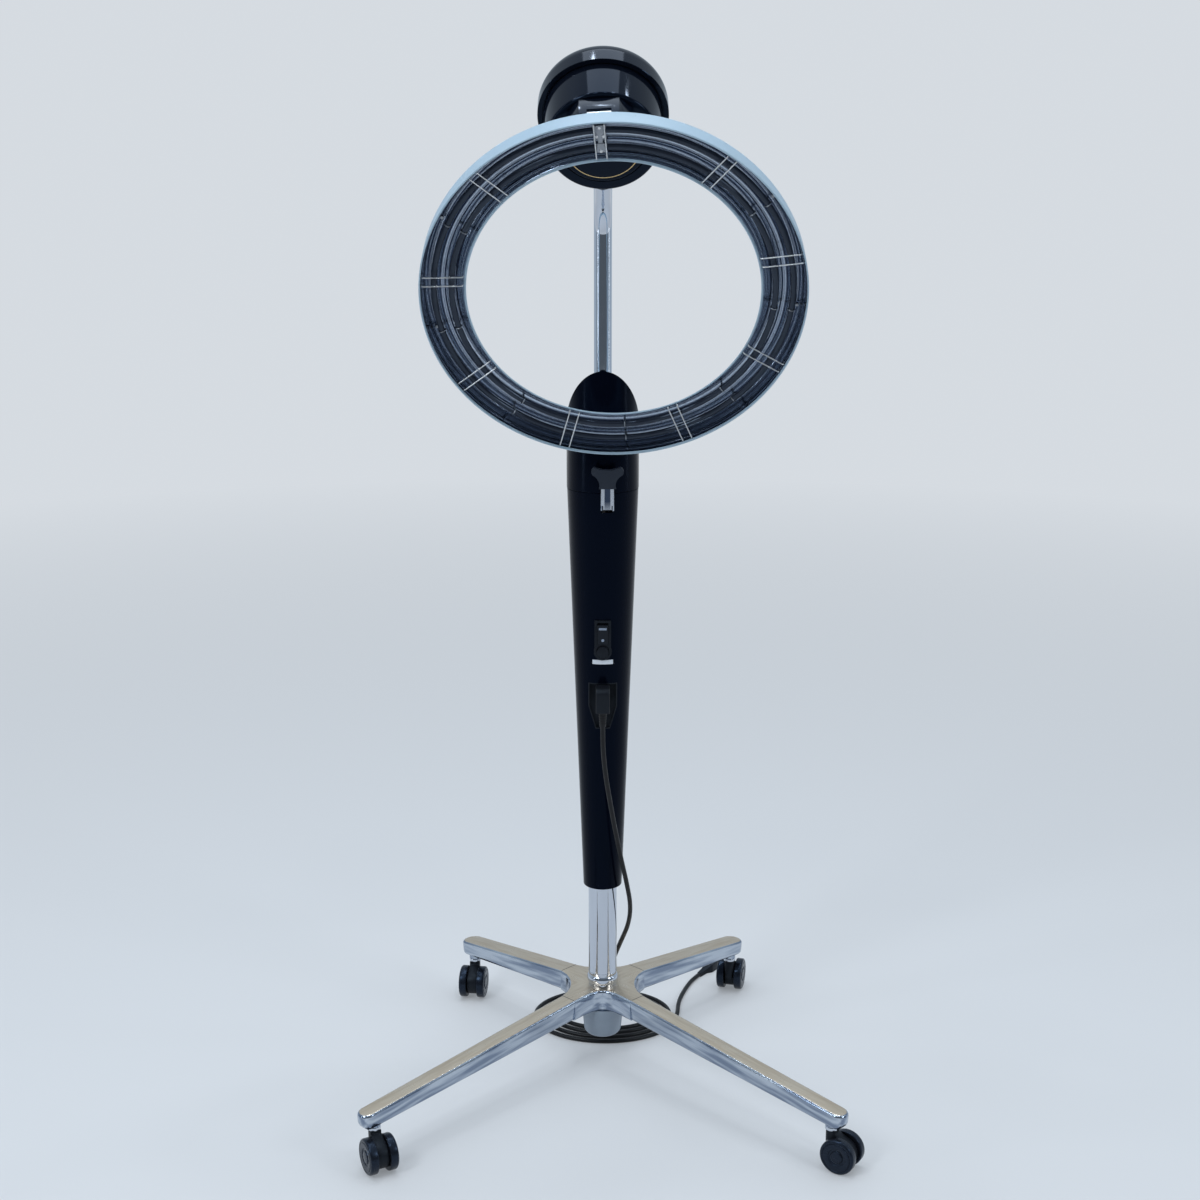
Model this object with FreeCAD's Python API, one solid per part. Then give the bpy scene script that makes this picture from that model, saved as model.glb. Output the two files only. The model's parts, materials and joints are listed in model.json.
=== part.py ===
import FreeCAD
import Part
import math
import os

# Orbiting-ring hair heater on a four-armed caster stand, in millimetres.
# Origin on the floor under the column's axis, +Z up, front of the machine towards -Y.

V = FreeCAD.Vector
X_AXIS = V(1, 0, 0)
Y_AXIS = V(0, 1, 0)
Z_AXIS = V(0, 0, 1)

# Clearances
RUNNING = 0.05
LOOSE = 0.3
SEAT = 0.1

# Casters
WHEEL_R = 25.5
WHEEL_WIDTH = 12.5
WHEEL_GAP = 17.0
WHEEL_BEVEL = 3.5
CASTER_PLATE = 16.0
CASTER_TOP = 55.7
CASTER_TRAIL = 16.7
HOOD_R = 20.0
HOOD_BACK = 220.0
HOOD_FRONT = 60.0
NECK_BELOW = 8.0
NECK_SHOULDER = 4.0
AXLE_R = 3.0
AXLE_END_COVER = 2.5
STEM_R = 5.5
STEM_FOOT = 32.0
STEM_COLLAR_R = 9.4
STEM_COLLAR = 5.0
STEM_IN_LEG = 20.0

# Star base: each arm's stem position, leg widths, height of its tip, how far the tip's round goes
# past the stem, and the way its caster trails
LEGS = {
    "front_left": {"stem": (-316.0, -326.0), "root": 30.0, "tip": 28.0, "top": 87.0, "nose": 10.5, "trail": -62.0},
    "front_right": {"stem": (316.0, -326.0), "root": 30.0, "tip": 28.0, "top": 87.0, "nose": 10.5, "trail": -32.0},
    "rear_left": {"stem": (-211.0, 214.0), "root": 36.0, "tip": 34.5, "top": 92.0, "nose": 4.5, "trail": -98.0},
    "rear_right": {"stem": (211.0, 214.0), "root": 36.0, "tip": 34.5, "top": 92.0, "nose": 4.5, "trail": 75.0},
}
LEG_ORDER = ("front_right", "rear_right", "rear_left", "front_left")
LEG_TOP_ROOT = 118.0
LEG_DEPTH_ROOT = 33.0
LEG_DEPTH_TIP = 24.0
LEG_DRAFT = 3.0
LEG_WALL = 4.0
LEG_EDGE_R = 4.0
NOSE_FACE = 16.0
TIP_BOSS_R = 12.6
TIP_BOSS_FOOT = 61.0
HUB_SEAM = 75.0
HUB_WEBS = (51.0, 56.0, 51.0, 36.0)
HUB_DRUM_R = 31.8
HUB_DRUM_FOOT_R = 31.0
HUB_FOOT = 84.0
HUB_FLOOR = 8.0
HUB_CROWN_DRAW = 2.0
HUB_NECK_R = 28.0
HUB_FLARE = 3.0
HUB_BALL_R = 23.2
HUB_BALL_TOP = 141.0
HUB_BALL_WAIST = 1.2
HUB_LIP = 0.6
CUP_R = 31.5
CUP_FOOT_R = 27.0
CUP_FOOT = 37.0
CUP_BAND = 8.0
CUP_WALL = 3.0

# Telescopic column
TUBE_R = 21.5
TUBE_WALL = 2.0
TUBE_TOP = 478.0
ROD_R = 5.0
ROD_FOOT = HUB_FOOT - 8.0
ROD_HEAD_R = 9.0
ROD_TOP = 600.0
PISTON_DEPTH = 12.0
CYLINDER_R = 14.0
CYLINDER_WALL = 2.0
CYLINDER_FOOT = 330.0
CYLINDER_TOP = 862.0
CYLINDER_CAP = 8.0
PIN_R = 3.0
PIN_TOP = 864.5
BUSH_FOOT = 283.0
BUSH_LENGTH = 70.0
BUSH_WALL = 2.0
BUSH_FLANGE = 3.0
INNER_TUBE_WALL = 2.4
INNER_TUBE_TOP = 846.0
COVER_FOOT = 283.0
COVER_TOP = 894.0
COVER_FOOT_R = 29.0
COVER_TOP_R = 52.0
COVER_WALL = 2.5
CAP_FRONT_TOP = 1067.0
CAP_BACK_TOP = 903.0
PANEL_THICK = 3.0
BOARD_GAP = 8.0
BOARD_THICK = 1.6

# Pole clamp and height lever
CLAMP_SEAT = 12.0
CLAMP_SPIGOT = 20.0
CLAMP_HALF = 20.0
CLAMP_FRONT = -42.5
CLAMP_BACK = -10.0
CHEEK_INNER = 7.5
CHEEK_THICK = 6.0
CLAMP_BLOCK_FOOT = 900.0
CLAMP_BLOCK_TOP = 960.0
POLE_R = 12.5
POLE_WALL = 2.0
POLE_Y = -30.0
POLE_FOOT = 905.0
POLE_BEND_START = 1250.5
POLE_BEND_R = 62.5
POLE_LEAN = 62.0
POLE_END_RUN = 79.0
COLLAR_R = 16.0
COLLAR_LENGTH = 9.0
LEVER_X = 6.5
LEVER_PIN_R = 2.5
LEVER_PIN_Y = -37.0
LEVER_PIN_Z = 878.0
LEVER_ARM_HALF = 6.0
LEVER_SHEET = 1.5
LEVER_TAIL = 6.0
LEVER_TONGUE_DROP = 7.7
LEVER_TONGUE_THICK = 5.7
LEVER_UPRIGHT_HALF = 9.0
PRONG_INNER = 4.0
PRONG_FOOT = LEVER_PIN_Z + 0.5
PRONG_WEB_RISE = 5.0
PRONG_IN_HANDLE = 16.5
PAD_HALF = 4.0
NOTCH_HALF = 9.5
NOTCH_FOOT = LEVER_PIN_Z - 12.0
HANDLE_RISE = 25.5
HANDLE_HEIGHT = 31.5
HANDLE_FOOT = LEVER_PIN_Z + HANDLE_RISE
HANDLE_TOP = HANDLE_FOOT + HANDLE_HEIGHT
HANDLE_FOOT_HALF = 12.0
HANDLE_WING_HALF = 22.5
HANDLE_THICK = 12.0
HANDLE_LEAN = 7.0

# Switch and inlet on the cover's front
BEZEL_HALF = 12.0
BEZEL_FOOT = 647.0
BEZEL_HEIGHT = 60.0
BEZEL_PROUD = 2.0
BEZEL_TOP = BEZEL_FOOT + BEZEL_HEIGHT
SWITCH_DEPTH = 15.0
SWITCH_HALF = 8.5
SWITCH_END = 2.5
ROCKER_DROP = 20.0
ROCKER_Z = BEZEL_TOP - ROCKER_DROP
ROCKER_HALF = 7.7
ROCKER_REACH = 15.0
ROCKER_END_GAP = 1.2
ROCKER_PROUD = 4.8
ROCKER_WAIST = 2.8
ROCKER_PIVOT_IN = 4.0
ROCKER_PIVOT_R = 1.5
ROCKER_BACK_R = 8.0
ROCKER_SWING = 14.0
BUTTON_RISE = 13.0
BUTTON_Z = BEZEL_FOOT + BUTTON_RISE
BUTTON_R = 8.4
BUTTON_COLLAR_R = 13.0
BUTTON_ROOM_R = 11.0
BUTTON_PROUD = 3.0
BUTTON_SUNK = 2.0
BUTTON_FLANGE_R = 9.2
BUTTON_FLANGE = 1.2
BUTTON_STEM_R = 2.0
BUTTON_STEM = 6.5
BUTTON_TRAVEL = 2.0
INLET_DROP = 36.0
INLET_TOP = BEZEL_FOOT - INLET_DROP
INLET_UPRIGHT = 36.0
INLET_WAIST = INLET_TOP - INLET_UPRIGHT
INLET_TAPER = 34.0
INLET_FOOT = INLET_WAIST - INLET_TAPER
INLET_HALF = 21.0
INLET_FOOT_HALF = 10.5
INLET_DEPTH = 10.5
INLET_WALL = 1.5
CONNECTOR_HALF = 10.0
CONNECTOR_INSET = 4.0
CONNECTOR_HEIGHT = 28.0
CONNECTOR_TOP = INLET_TOP - CONNECTOR_INSET
CONNECTOR_FOOT = CONNECTOR_TOP - CONNECTOR_HEIGHT
CONNECTOR_CHIN = 4.0
CONNECTOR_FRONT = -76.0
RELIEF_LENGTH = 22.0
RELIEF_TOP_R = 6.2
RELIEF_FOOT_R = 4.6
RELIEF_FOOT = CONNECTOR_FOOT - CONNECTOR_CHIN - RELIEF_LENGTH
CORD_R = 3.5
CORD_SIDES = 8
CORD_START_Y = -66.0
CORD_START_Z = 553.0

# Head, in a frame whose origin is the motor drum's front centre and whose +Z faces the client
HEAD_Y = -235.0
HEAD_Z = 1376.4
HEAD_TURN = 125.0
DRUM_R = 72.5
DRUM_BACK_R = 76.5
DRUM_LENGTH = 60.0
DRUM_WALL = 2.5
DRUM_MOUTH_R = 58.5
DRUM_RIM = 3.0
DRUM_EDGE = 4.0
SPIDER_FRONT = -8.0
SPIDER_THICK = 4.0
BEARING_R = 16.0
BEARING_FRONT = -10.0
BEARING_BACK = -22.0
BEARING_HOUSE_R = 20.0
BEARING_HOUSE_BACK = -24.0
POST_R = 4.0
POST_CIRCLE_R = 40.0
POST_BACK = -44.0
DOME_R = 84.0
DOME_WALL = 3.0
DOME_MOUTH_R = 77.5
DOME_LIP = 3.0
DOME_BACK = -113.0
DOME_FILLET = 38.0
DOME_STRAIGHT = DOME_BACK + DOME_FILLET
BOSS_R = 19.0
BOSS_LENGTH = 24.0
BOSS_IN = 8.0
MOTOR_R = 30.0
MOTOR_BACK = -100.0
MOTOR_FLANGE_R = 46.0
MOTOR_FLANGE = 3.0
MOTOR_SHAFT_R = 5.0
MOTOR_SHAFT_FRONT = -38.0
SLIP_RING_R = 20.0
SLIP_RING_LENGTH = 12.0
SHAFT_R = 8.0
DISC_R = 56.5
DISC_FRONT = 3.0
DISC_BACK = -5.0
DISC_STEP_R = 48.0
DISC_STEP = 5.0

# Arm box and ring, in the head frame turned by the ring's rest place on its orbit
ORBIT_REST = 4.5
ARM_HALF = 41.0
ARM_TOP_HALF = 25.0
ARM_FOOT = 2.0
ARM_SHOULDER = 49.0
ARM_TOP = 67.0
ARM_WALL = 3.0
ARM_BACKED = 4.0
RING_DROP = -171.5
RING_OUT = 99.3
RING_TURN = -7.0
RING_R = 251.5
RING_INNER_R = 191.0
RING_INNER_SET = 14.0
RING_DEPTH = 34.0
RING_CORNER = 10.0
RING_SLOPE_R = 205.0
RING_WALL = 2.0
HINGE_Y = 239.7
HINGE_BACK = 6.0
HINGE_PIN_R = 3.0
BARREL_R = 5.0
BARREL_HALF = 15.0
LEAF_HALF = 24.0
LEAF_THICK = 3.0
LEAF_FOOT = 200.0
REFLECTOR_WALL = 0.8
HEATER_R = 4.0
HEATER_CIRCLES = (233.0, 210.0)
HEATER_SET = 16.0
CLIP_ANGLES = (30.0, -10.0, -50.0, -90.0, -130.0, 190.0, 150.0)
CLIP_RING_R = 5.4
CLIP_WIDTH = 5.0
CLIP_POST_R = 2.0
TERMINAL_HALF = 7.5
TERMINAL_CLIP = 6.0
TERMINAL_STRAP = 3.0
TERMINAL_TOP = -13.2
TERMINAL_FOOT = -22.0
WIRE_R = 1.0
WIRE_PAIR = 13.0
WIRE_ANGLES = (90.0, 50.0, 10.0, -30.0, -70.0, -110.0, -150.0, 170.0, 130.0)

# Mains cord: hand-chosen route of the hanging stretch, then a flat spiral on the floor
COIL_CENTRE = (4.0, 124.0)
COIL_START = (80.0, 57.0)
COIL_STEP = 10.0
COIL_TURNS = 3.5
TAIL_END = (160.0, 262.0)
TAIL_WAY = (0.57, 0.82)
CORD_ROUTE = (
    (0.0, CORD_START_Y, CORD_START_Z),
    (0.0, CORD_START_Y, 520.0),
    (4.0, -64.0, 478.0),
    (11.0, -58.0, 432.0),
    (19.0, -51.0, 384.0),
    (28.0, -41.0, 336.0),
    (37.0, -26.0, 290.0),
    (43.0, -4.0, 246.0),
    (40.0, 20.0, 206.0),
    (29.0, 44.0, 168.0),
    (18.0, 66.0, 130.0),
    (10.0, 88.0, 90.0),
    (8.0, 102.0, 56.0),
    (7.0, 110.0, 28.0),
    (4.0, 124.0, 12.0),
    (-10.0, 138.0, CORD_R),
)
COIL_LEAD = (-30.0, 150.0)
PLUG_LENGTH = 46.0
PLUG_HALF = 10.5
PLUG_THICK = 14.0
PLUG_NECK = 18.0
PIN_SPACING = 12.7
PIN_LENGTH = 17.0
PIN_WIDTH = 6.3
PIN_THICK = 1.5


def save(name, *shapes):
    """Write one named piece, or one group of like pieces."""
    os.makedirs("parts", exist_ok=True)
    whole = shapes[0] if len(shapes) == 1 else Part.makeCompound(list(shapes))
    whole.exportStep("parts/" + name + ".step")
    return whole


def cylinder(radius, start, end):
    return Part.makeCylinder(radius, (end - start).Length, start, end - start)


def upright(radius, foot, top, x=0.0, y=0.0):
    return cylinder(radius, V(x, y, foot), V(x, y, top))


def cone(foot_r, top_r, foot, top):
    return Part.makeCone(foot_r, top_r, top - foot, V(0, 0, foot), Z_AXIS)


def block(low, high):
    size = V(*high) - V(*low)
    return Part.makeBox(size.x, size.y, size.z, V(*low))


def outline(start, *moves, plane=lambda a, b: V(a, 0, b)):
    """Closed flat face: each move is a line's end, or an arc's middle and end."""
    here = plane(*start)
    edges = []
    for move in moves + (start,):
        end = plane(*move[-2:])
        if len(move) == 4:
            edges.append(Part.Arc(here, plane(*move[:2]), end).toShape())
        elif (end - here).Length > 1e-6:
            edges.append(Part.LineSegment(here, end).toShape())
        here = end
    return Part.Face(Part.Wire(edges))


def turned(start, *moves):
    """Solid of revolution about Z from an outline of (radius, height)."""
    return outline(start, *moves).revolve(V(0, 0, 0), Z_AXIS, 360)


def side_slab(half, start, *moves):
    """Outline in (Y, Z) given a thickness of half each way along X."""
    face = outline(start, *moves, plane=lambda y, z: V(-half, y, z))
    return face.extrude(V(2 * half, 0, 0))


def front_slab(foot, top, start, *moves):
    """Outline in (X, Y) raised from foot to top."""
    face = outline(start, *moves, plane=lambda x, y: V(x, y, foot))
    return face.extrude(V(0, 0, top - foot))


def placed(shape, *frames):
    """Shape carried through a chain of frames, innermost last."""
    moved = shape.copy()
    place = FreeCAD.Placement()
    for frame in frames:
        place = place.multiply(frame)
    moved.Placement = place.multiply(moved.Placement)
    return moved


def turn(axis, degrees, x=0.0, y=0.0, z=0.0):
    return FreeCAD.Placement(V(x, y, z), FreeCAD.Rotation(axis, degrees))


HEAD = turn(X_AXIS, HEAD_TURN, y=HEAD_Y, z=HEAD_Z)
ORBIT = turn(Z_AXIS, ORBIT_REST)
RING = turn(X_AXIS, RING_TURN, y=RING_DROP, z=RING_OUT)


def leg_frame(leg):
    """Unit vector along the leg, its left-hand normal, and how far out the stem and the tip's round are."""
    stem = V(leg["stem"][0], leg["stem"][1], 0)
    along = V(stem).normalize()
    return along, V(-along.y, along.x, 0), stem.Length, stem.Length + leg["nose"]


def leg_section(leg, distance, inset=0.0):
    """Section across a leg laid along +X: rounded top edges, sides drawn in below."""
    tip_out = leg_frame(leg)[3]
    share = (distance - HUB_SEAM) / (tip_out - HUB_SEAM)
    width = leg["root"] + (leg["tip"] - leg["root"]) * share
    top = LEG_TOP_ROOT + (leg["top"] - LEG_TOP_ROOT) * share - inset
    depth = LEG_DEPTH_ROOT + (LEG_DEPTH_TIP - LEG_DEPTH_ROOT) * share
    foot = top + inset - depth - (1.0 if inset else 0.0)
    half = width / 2 - inset
    half_foot = half - LEG_DRAFT
    r = LEG_EDGE_R - (inset / 2 if inset else 0.0)
    bow = r * (1 - math.cos(math.pi / 4))

    def at(side, z):
        return V(distance, side, z)

    edges = [
        Part.LineSegment(at(-half_foot, foot), at(half_foot, foot)).toShape(),
        Part.LineSegment(at(half_foot, foot), at(half, top - r)).toShape(),
        Part.Arc(at(half, top - r), at(half - bow, top - bow), at(half - r, top)).toShape(),
        Part.LineSegment(at(half - r, top), at(r - half, top)).toShape(),
        Part.Arc(at(r - half, top), at(bow - half, top - bow), at(-half, top - r)).toShape(),
        Part.LineSegment(at(-half, top - r), at(-half_foot, foot)).toShape(),
    ]
    return Part.Wire(edges)


def make_leg(leg):
    """Cast leg, hollow underneath, with the caster's boss at its rounded tip."""
    along, across, stem_out, tip_out = leg_frame(leg)
    body = Part.makeLoft([leg_section(leg, HUB_SEAM), leg_section(leg, tip_out)], True, True)
    hollow_end = stem_out - TIP_BOSS_R - LEG_WALL
    hollow = Part.makeLoft(
        [leg_section(leg, HUB_SEAM + LEG_WALL, LEG_WALL), leg_section(leg, hollow_end, LEG_WALL)],
        True, True)
    top = leg["top"]
    foot = top - LEG_DEPTH_TIP
    half = leg["tip"] / 2
    tip = Part.makeCone(half - LEG_DRAFT, half, LEG_DEPTH_TIP - LEG_EDGE_R, V(tip_out, 0, foot), Z_AXIS)
    crown = Part.makeCone(half, half - LEG_EDGE_R, LEG_EDGE_R, V(tip_out, 0, top - LEG_EDGE_R), Z_AXIS)
    end = tip_out + half + 1
    drop = LEG_DEPTH_TIP - NOSE_FACE + 2
    under_nose = outline((end, top - NOSE_FACE + 1), (end, foot - 1), (end - drop, foot - 1),
                         plane=lambda x, z: V(x, -leg["tip"], z))
    behind = block((tip_out - 2 * half, -2 * half, 0), (tip_out, 2 * half, LEG_TOP_ROOT))
    nose = tip.fuse(crown).cut([under_nose.extrude(V(0, 2 * leg["tip"], 0)), behind])
    boss = upright(TIP_BOSS_R - LEG_DRAFT, TIP_BOSS_FOOT, top - LEG_EDGE_R, stem_out)
    solid = body.cut(hollow).fuse([nose, boss]).removeSplitter()
    solid = solid.cut(upright(STEM_R, TIP_BOSS_FOOT - 1, TIP_BOSS_FOOT + STEM_IN_LEG, stem_out))
    return placed(solid, turn(Z_AXIS, math.degrees(math.atan2(along.y, along.x))))


def star_wire(height, narrowing):
    """Star outline of the hub: four arm ends joined by hollow arcs."""
    edges = []
    corners = []
    for name in LEG_ORDER:
        along, across = leg_frame(LEGS[name])[:2]
        half = LEGS[name]["root"] / 2 - narrowing
        end = along * HUB_SEAM + V(0, 0, height)
        corners.append((end - across * half, end + across * half, along))
    for number, (right, left, along) in enumerate(corners):
        next_right, next_left, next_along = corners[(number + 1) % len(corners)]
        edges.append(Part.LineSegment(right, left).toShape())
        middle = (along + next_along).normalize() * (HUB_WEBS[number] - narrowing) + V(0, 0, height)
        edges.append(Part.Arc(left, middle, next_right).toShape())
    return Part.Wire(edges)


def make_base():
    """Hub, cup, legs, caster stems, chrome tube and gas-spring rod."""
    shelf = LEG_TOP_ROOT - LEG_DEPTH_ROOT
    edge = LEG_TOP_ROOT - LEG_EDGE_R
    star = Part.makeLoft([star_wire(shelf, LEG_DRAFT), star_wire(edge, 0.0)], True, True)
    crown = Part.makeLoft([star_wire(edge, 0.0), star_wire(LEG_TOP_ROOT, HUB_CROWN_DRAW)], True, True)
    drum = cone(HUB_DRUM_FOOT_R, HUB_DRUM_R, HUB_FOOT, edge)
    waist = HUB_BALL_R - HUB_BALL_WAIST
    flare = HUB_NECK_R - waist
    ball_foot = LEG_TOP_ROOT + HUB_FLARE
    ball = turned((0, LEG_TOP_ROOT - 1), (HUB_NECK_R, LEG_TOP_ROOT - 1), (HUB_NECK_R, LEG_TOP_ROOT),
                  (waist + flare * 0.3, LEG_TOP_ROOT + HUB_FLARE * 0.3, waist, ball_foot),
                  (HUB_BALL_R, (2 * ball_foot + HUB_BALL_TOP) / 3, TUBE_R + HUB_LIP, HUB_BALL_TOP),
                  (0, HUB_BALL_TOP))
    hub = star.fuse([crown, drum, ball]).removeSplitter()
    hub = hub.cut(upright(TUBE_R, HUB_FOOT + HUB_FLOOR, HUB_BALL_TOP + 1))
    hub = hub.cut(upright(ROD_R, HUB_FOOT - 1, HUB_FOOT + HUB_FLOOR + 1))
    save("base_hub", hub)

    band = HUB_FOOT - CUP_BAND
    inner = CUP_R - CUP_WALL
    inner_foot = CUP_FOOT_R - CUP_WALL
    save("hub_cup", turned(
        (0, CUP_FOOT), (CUP_FOOT_R - 10, CUP_FOOT),
        (CUP_FOOT_R - 2.9, CUP_FOOT + 2.9, CUP_FOOT_R, CUP_FOOT + 10), (CUP_R - 1.2, band), (CUP_R, band),
        (CUP_R, HUB_FOOT), (inner, HUB_FOOT), (inner, band),
        (inner_foot, CUP_FOOT + 10), (inner_foot - 7, CUP_FOOT + CUP_WALL), (0, CUP_FOOT + CUP_WALL)))

    for name, leg in LEGS.items():
        save(name + "_leg", make_leg(leg))

    stems = []
    for leg in LEGS.values():
        x, y = leg["stem"]
        stems.append(upright(STEM_R, STEM_FOOT, TIP_BOSS_FOOT + STEM_IN_LEG, x, y))
        collar = upright(STEM_COLLAR_R, TIP_BOSS_FOOT - STEM_COLLAR, TIP_BOSS_FOOT, x, y)
        stems.append(collar.cut(upright(STEM_R + RUNNING, STEM_FOOT, TIP_BOSS_FOOT + 1, x, y)))
    save("caster_stems", *stems)

    tube_foot = HUB_FOOT + HUB_FLOOR
    save("lower_tube", upright(TUBE_R, tube_foot, TUBE_TOP).cut(
        upright(TUBE_R - TUBE_WALL, tube_foot - 1, TUBE_TOP + 1)))

    piston_r = CYLINDER_R - CYLINDER_WALL - RUNNING
    rod = upright(ROD_R, ROD_FOOT, ROD_TOP)
    save("gas_rod", rod.fuse([upright(ROD_HEAD_R, ROD_FOOT, HUB_FOOT),
                              upright(piston_r, ROD_TOP - PISTON_DEPTH, ROD_TOP)]))


def make_caster(name, leg):
    """Twin-wheel caster: body with its plate, axle and a pair of wheels."""
    ways = (turn(Z_AXIS, leg["trail"], x=leg["stem"][0], y=leg["stem"][1]),)
    half = CASTER_PLATE / 2

    def hood(degrees):
        """Point of the body's rim round the axle."""
        angle = math.radians(degrees)
        return CASTER_TRAIL + HOOD_R * math.cos(angle), WHEEL_R + HOOD_R * math.sin(angle)

    face = outline(
        (0, CASTER_TOP), (0, STEM_FOOT - NECK_BELOW), hood(HOOD_BACK), hood(270),
        (*hood((HOOD_FRONT - 90) / 2), *hood(HOOD_FRONT)),
        (half, CASTER_TOP - NECK_SHOULDER), (half, CASTER_TOP),
        plane=lambda x, z: V(x, -half, z))
    body = face.extrude(V(0, CASTER_PLATE, 0)).fuse(upright(half, STEM_FOOT - NECK_BELOW, CASTER_TOP))
    body = body.cut(upright(STEM_R + RUNNING, STEM_FOOT - LOOSE, CASTER_TOP + 1))
    reach = WHEEL_GAP / 2 + WHEEL_WIDTH - AXLE_END_COVER
    axle = cylinder(AXLE_R, V(CASTER_TRAIL, -reach, WHEEL_R), V(CASTER_TRAIL, reach, WHEEL_R))
    body = body.cut(axle).removeSplitter()
    save("caster_body_" + name, placed(body, *ways))
    save("caster_axle_" + name, placed(axle, *ways))
    inner = WHEEL_GAP / 2
    outer = inner + WHEEL_WIDTH
    bore = AXLE_R + RUNNING
    wheel = turned((bore, inner), (WHEEL_R, inner), (WHEEL_R, outer - WHEEL_BEVEL),
                   (WHEEL_R - WHEEL_BEVEL, outer), (0, outer), (0, reach + LOOSE), (bore, reach + LOOSE))
    hub_place = turn(X_AXIS, -90, x=CASTER_TRAIL, z=WHEEL_R)
    other_place = turn(X_AXIS, 90, x=CASTER_TRAIL, z=WHEEL_R)
    save("caster_wheels_" + name, placed(wheel, *ways, hub_place), placed(wheel, *ways, other_place))


COVER_SLOPE = (COVER_TOP_R - COVER_FOOT_R) / (COVER_TOP - COVER_FOOT)


def cover_r(z):
    """Outer radius of the tapered cover at a height."""
    return COVER_FOOT_R + COVER_SLOPE * (z - COVER_FOOT)


def on_cover(z):
    """Frame on the cover's front at height z: +X right, +Z up the slope, -Y outwards."""
    return turn(X_AXIS, math.degrees(math.atan(COVER_SLOPE)), y=-cover_r(z), z=z)


def cap_cut():
    """Half space above the cap's oblique rear face."""
    rise = CAP_FRONT_TOP - CAP_BACK_TOP
    steep = math.degrees(math.atan2(rise, 2 * COVER_TOP_R))
    slab = block((-100, -300, 0), (100, 300, 200))
    return placed(slab, turn(X_AXIS, -steep, z=(CAP_FRONT_TOP + CAP_BACK_TOP) / 2))


def panel_slab(offset, thick):
    """Slab parallel to the oblique face, its top the given distance below that face."""
    rise = CAP_FRONT_TOP - CAP_BACK_TOP
    steep = math.degrees(math.atan2(rise, 2 * COVER_TOP_R))
    slab = block((-100, -120, -offset - thick), (100, 120, -offset))
    return placed(slab, turn(X_AXIS, -steep, z=(CAP_FRONT_TOP + CAP_BACK_TOP) / 2))


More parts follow.
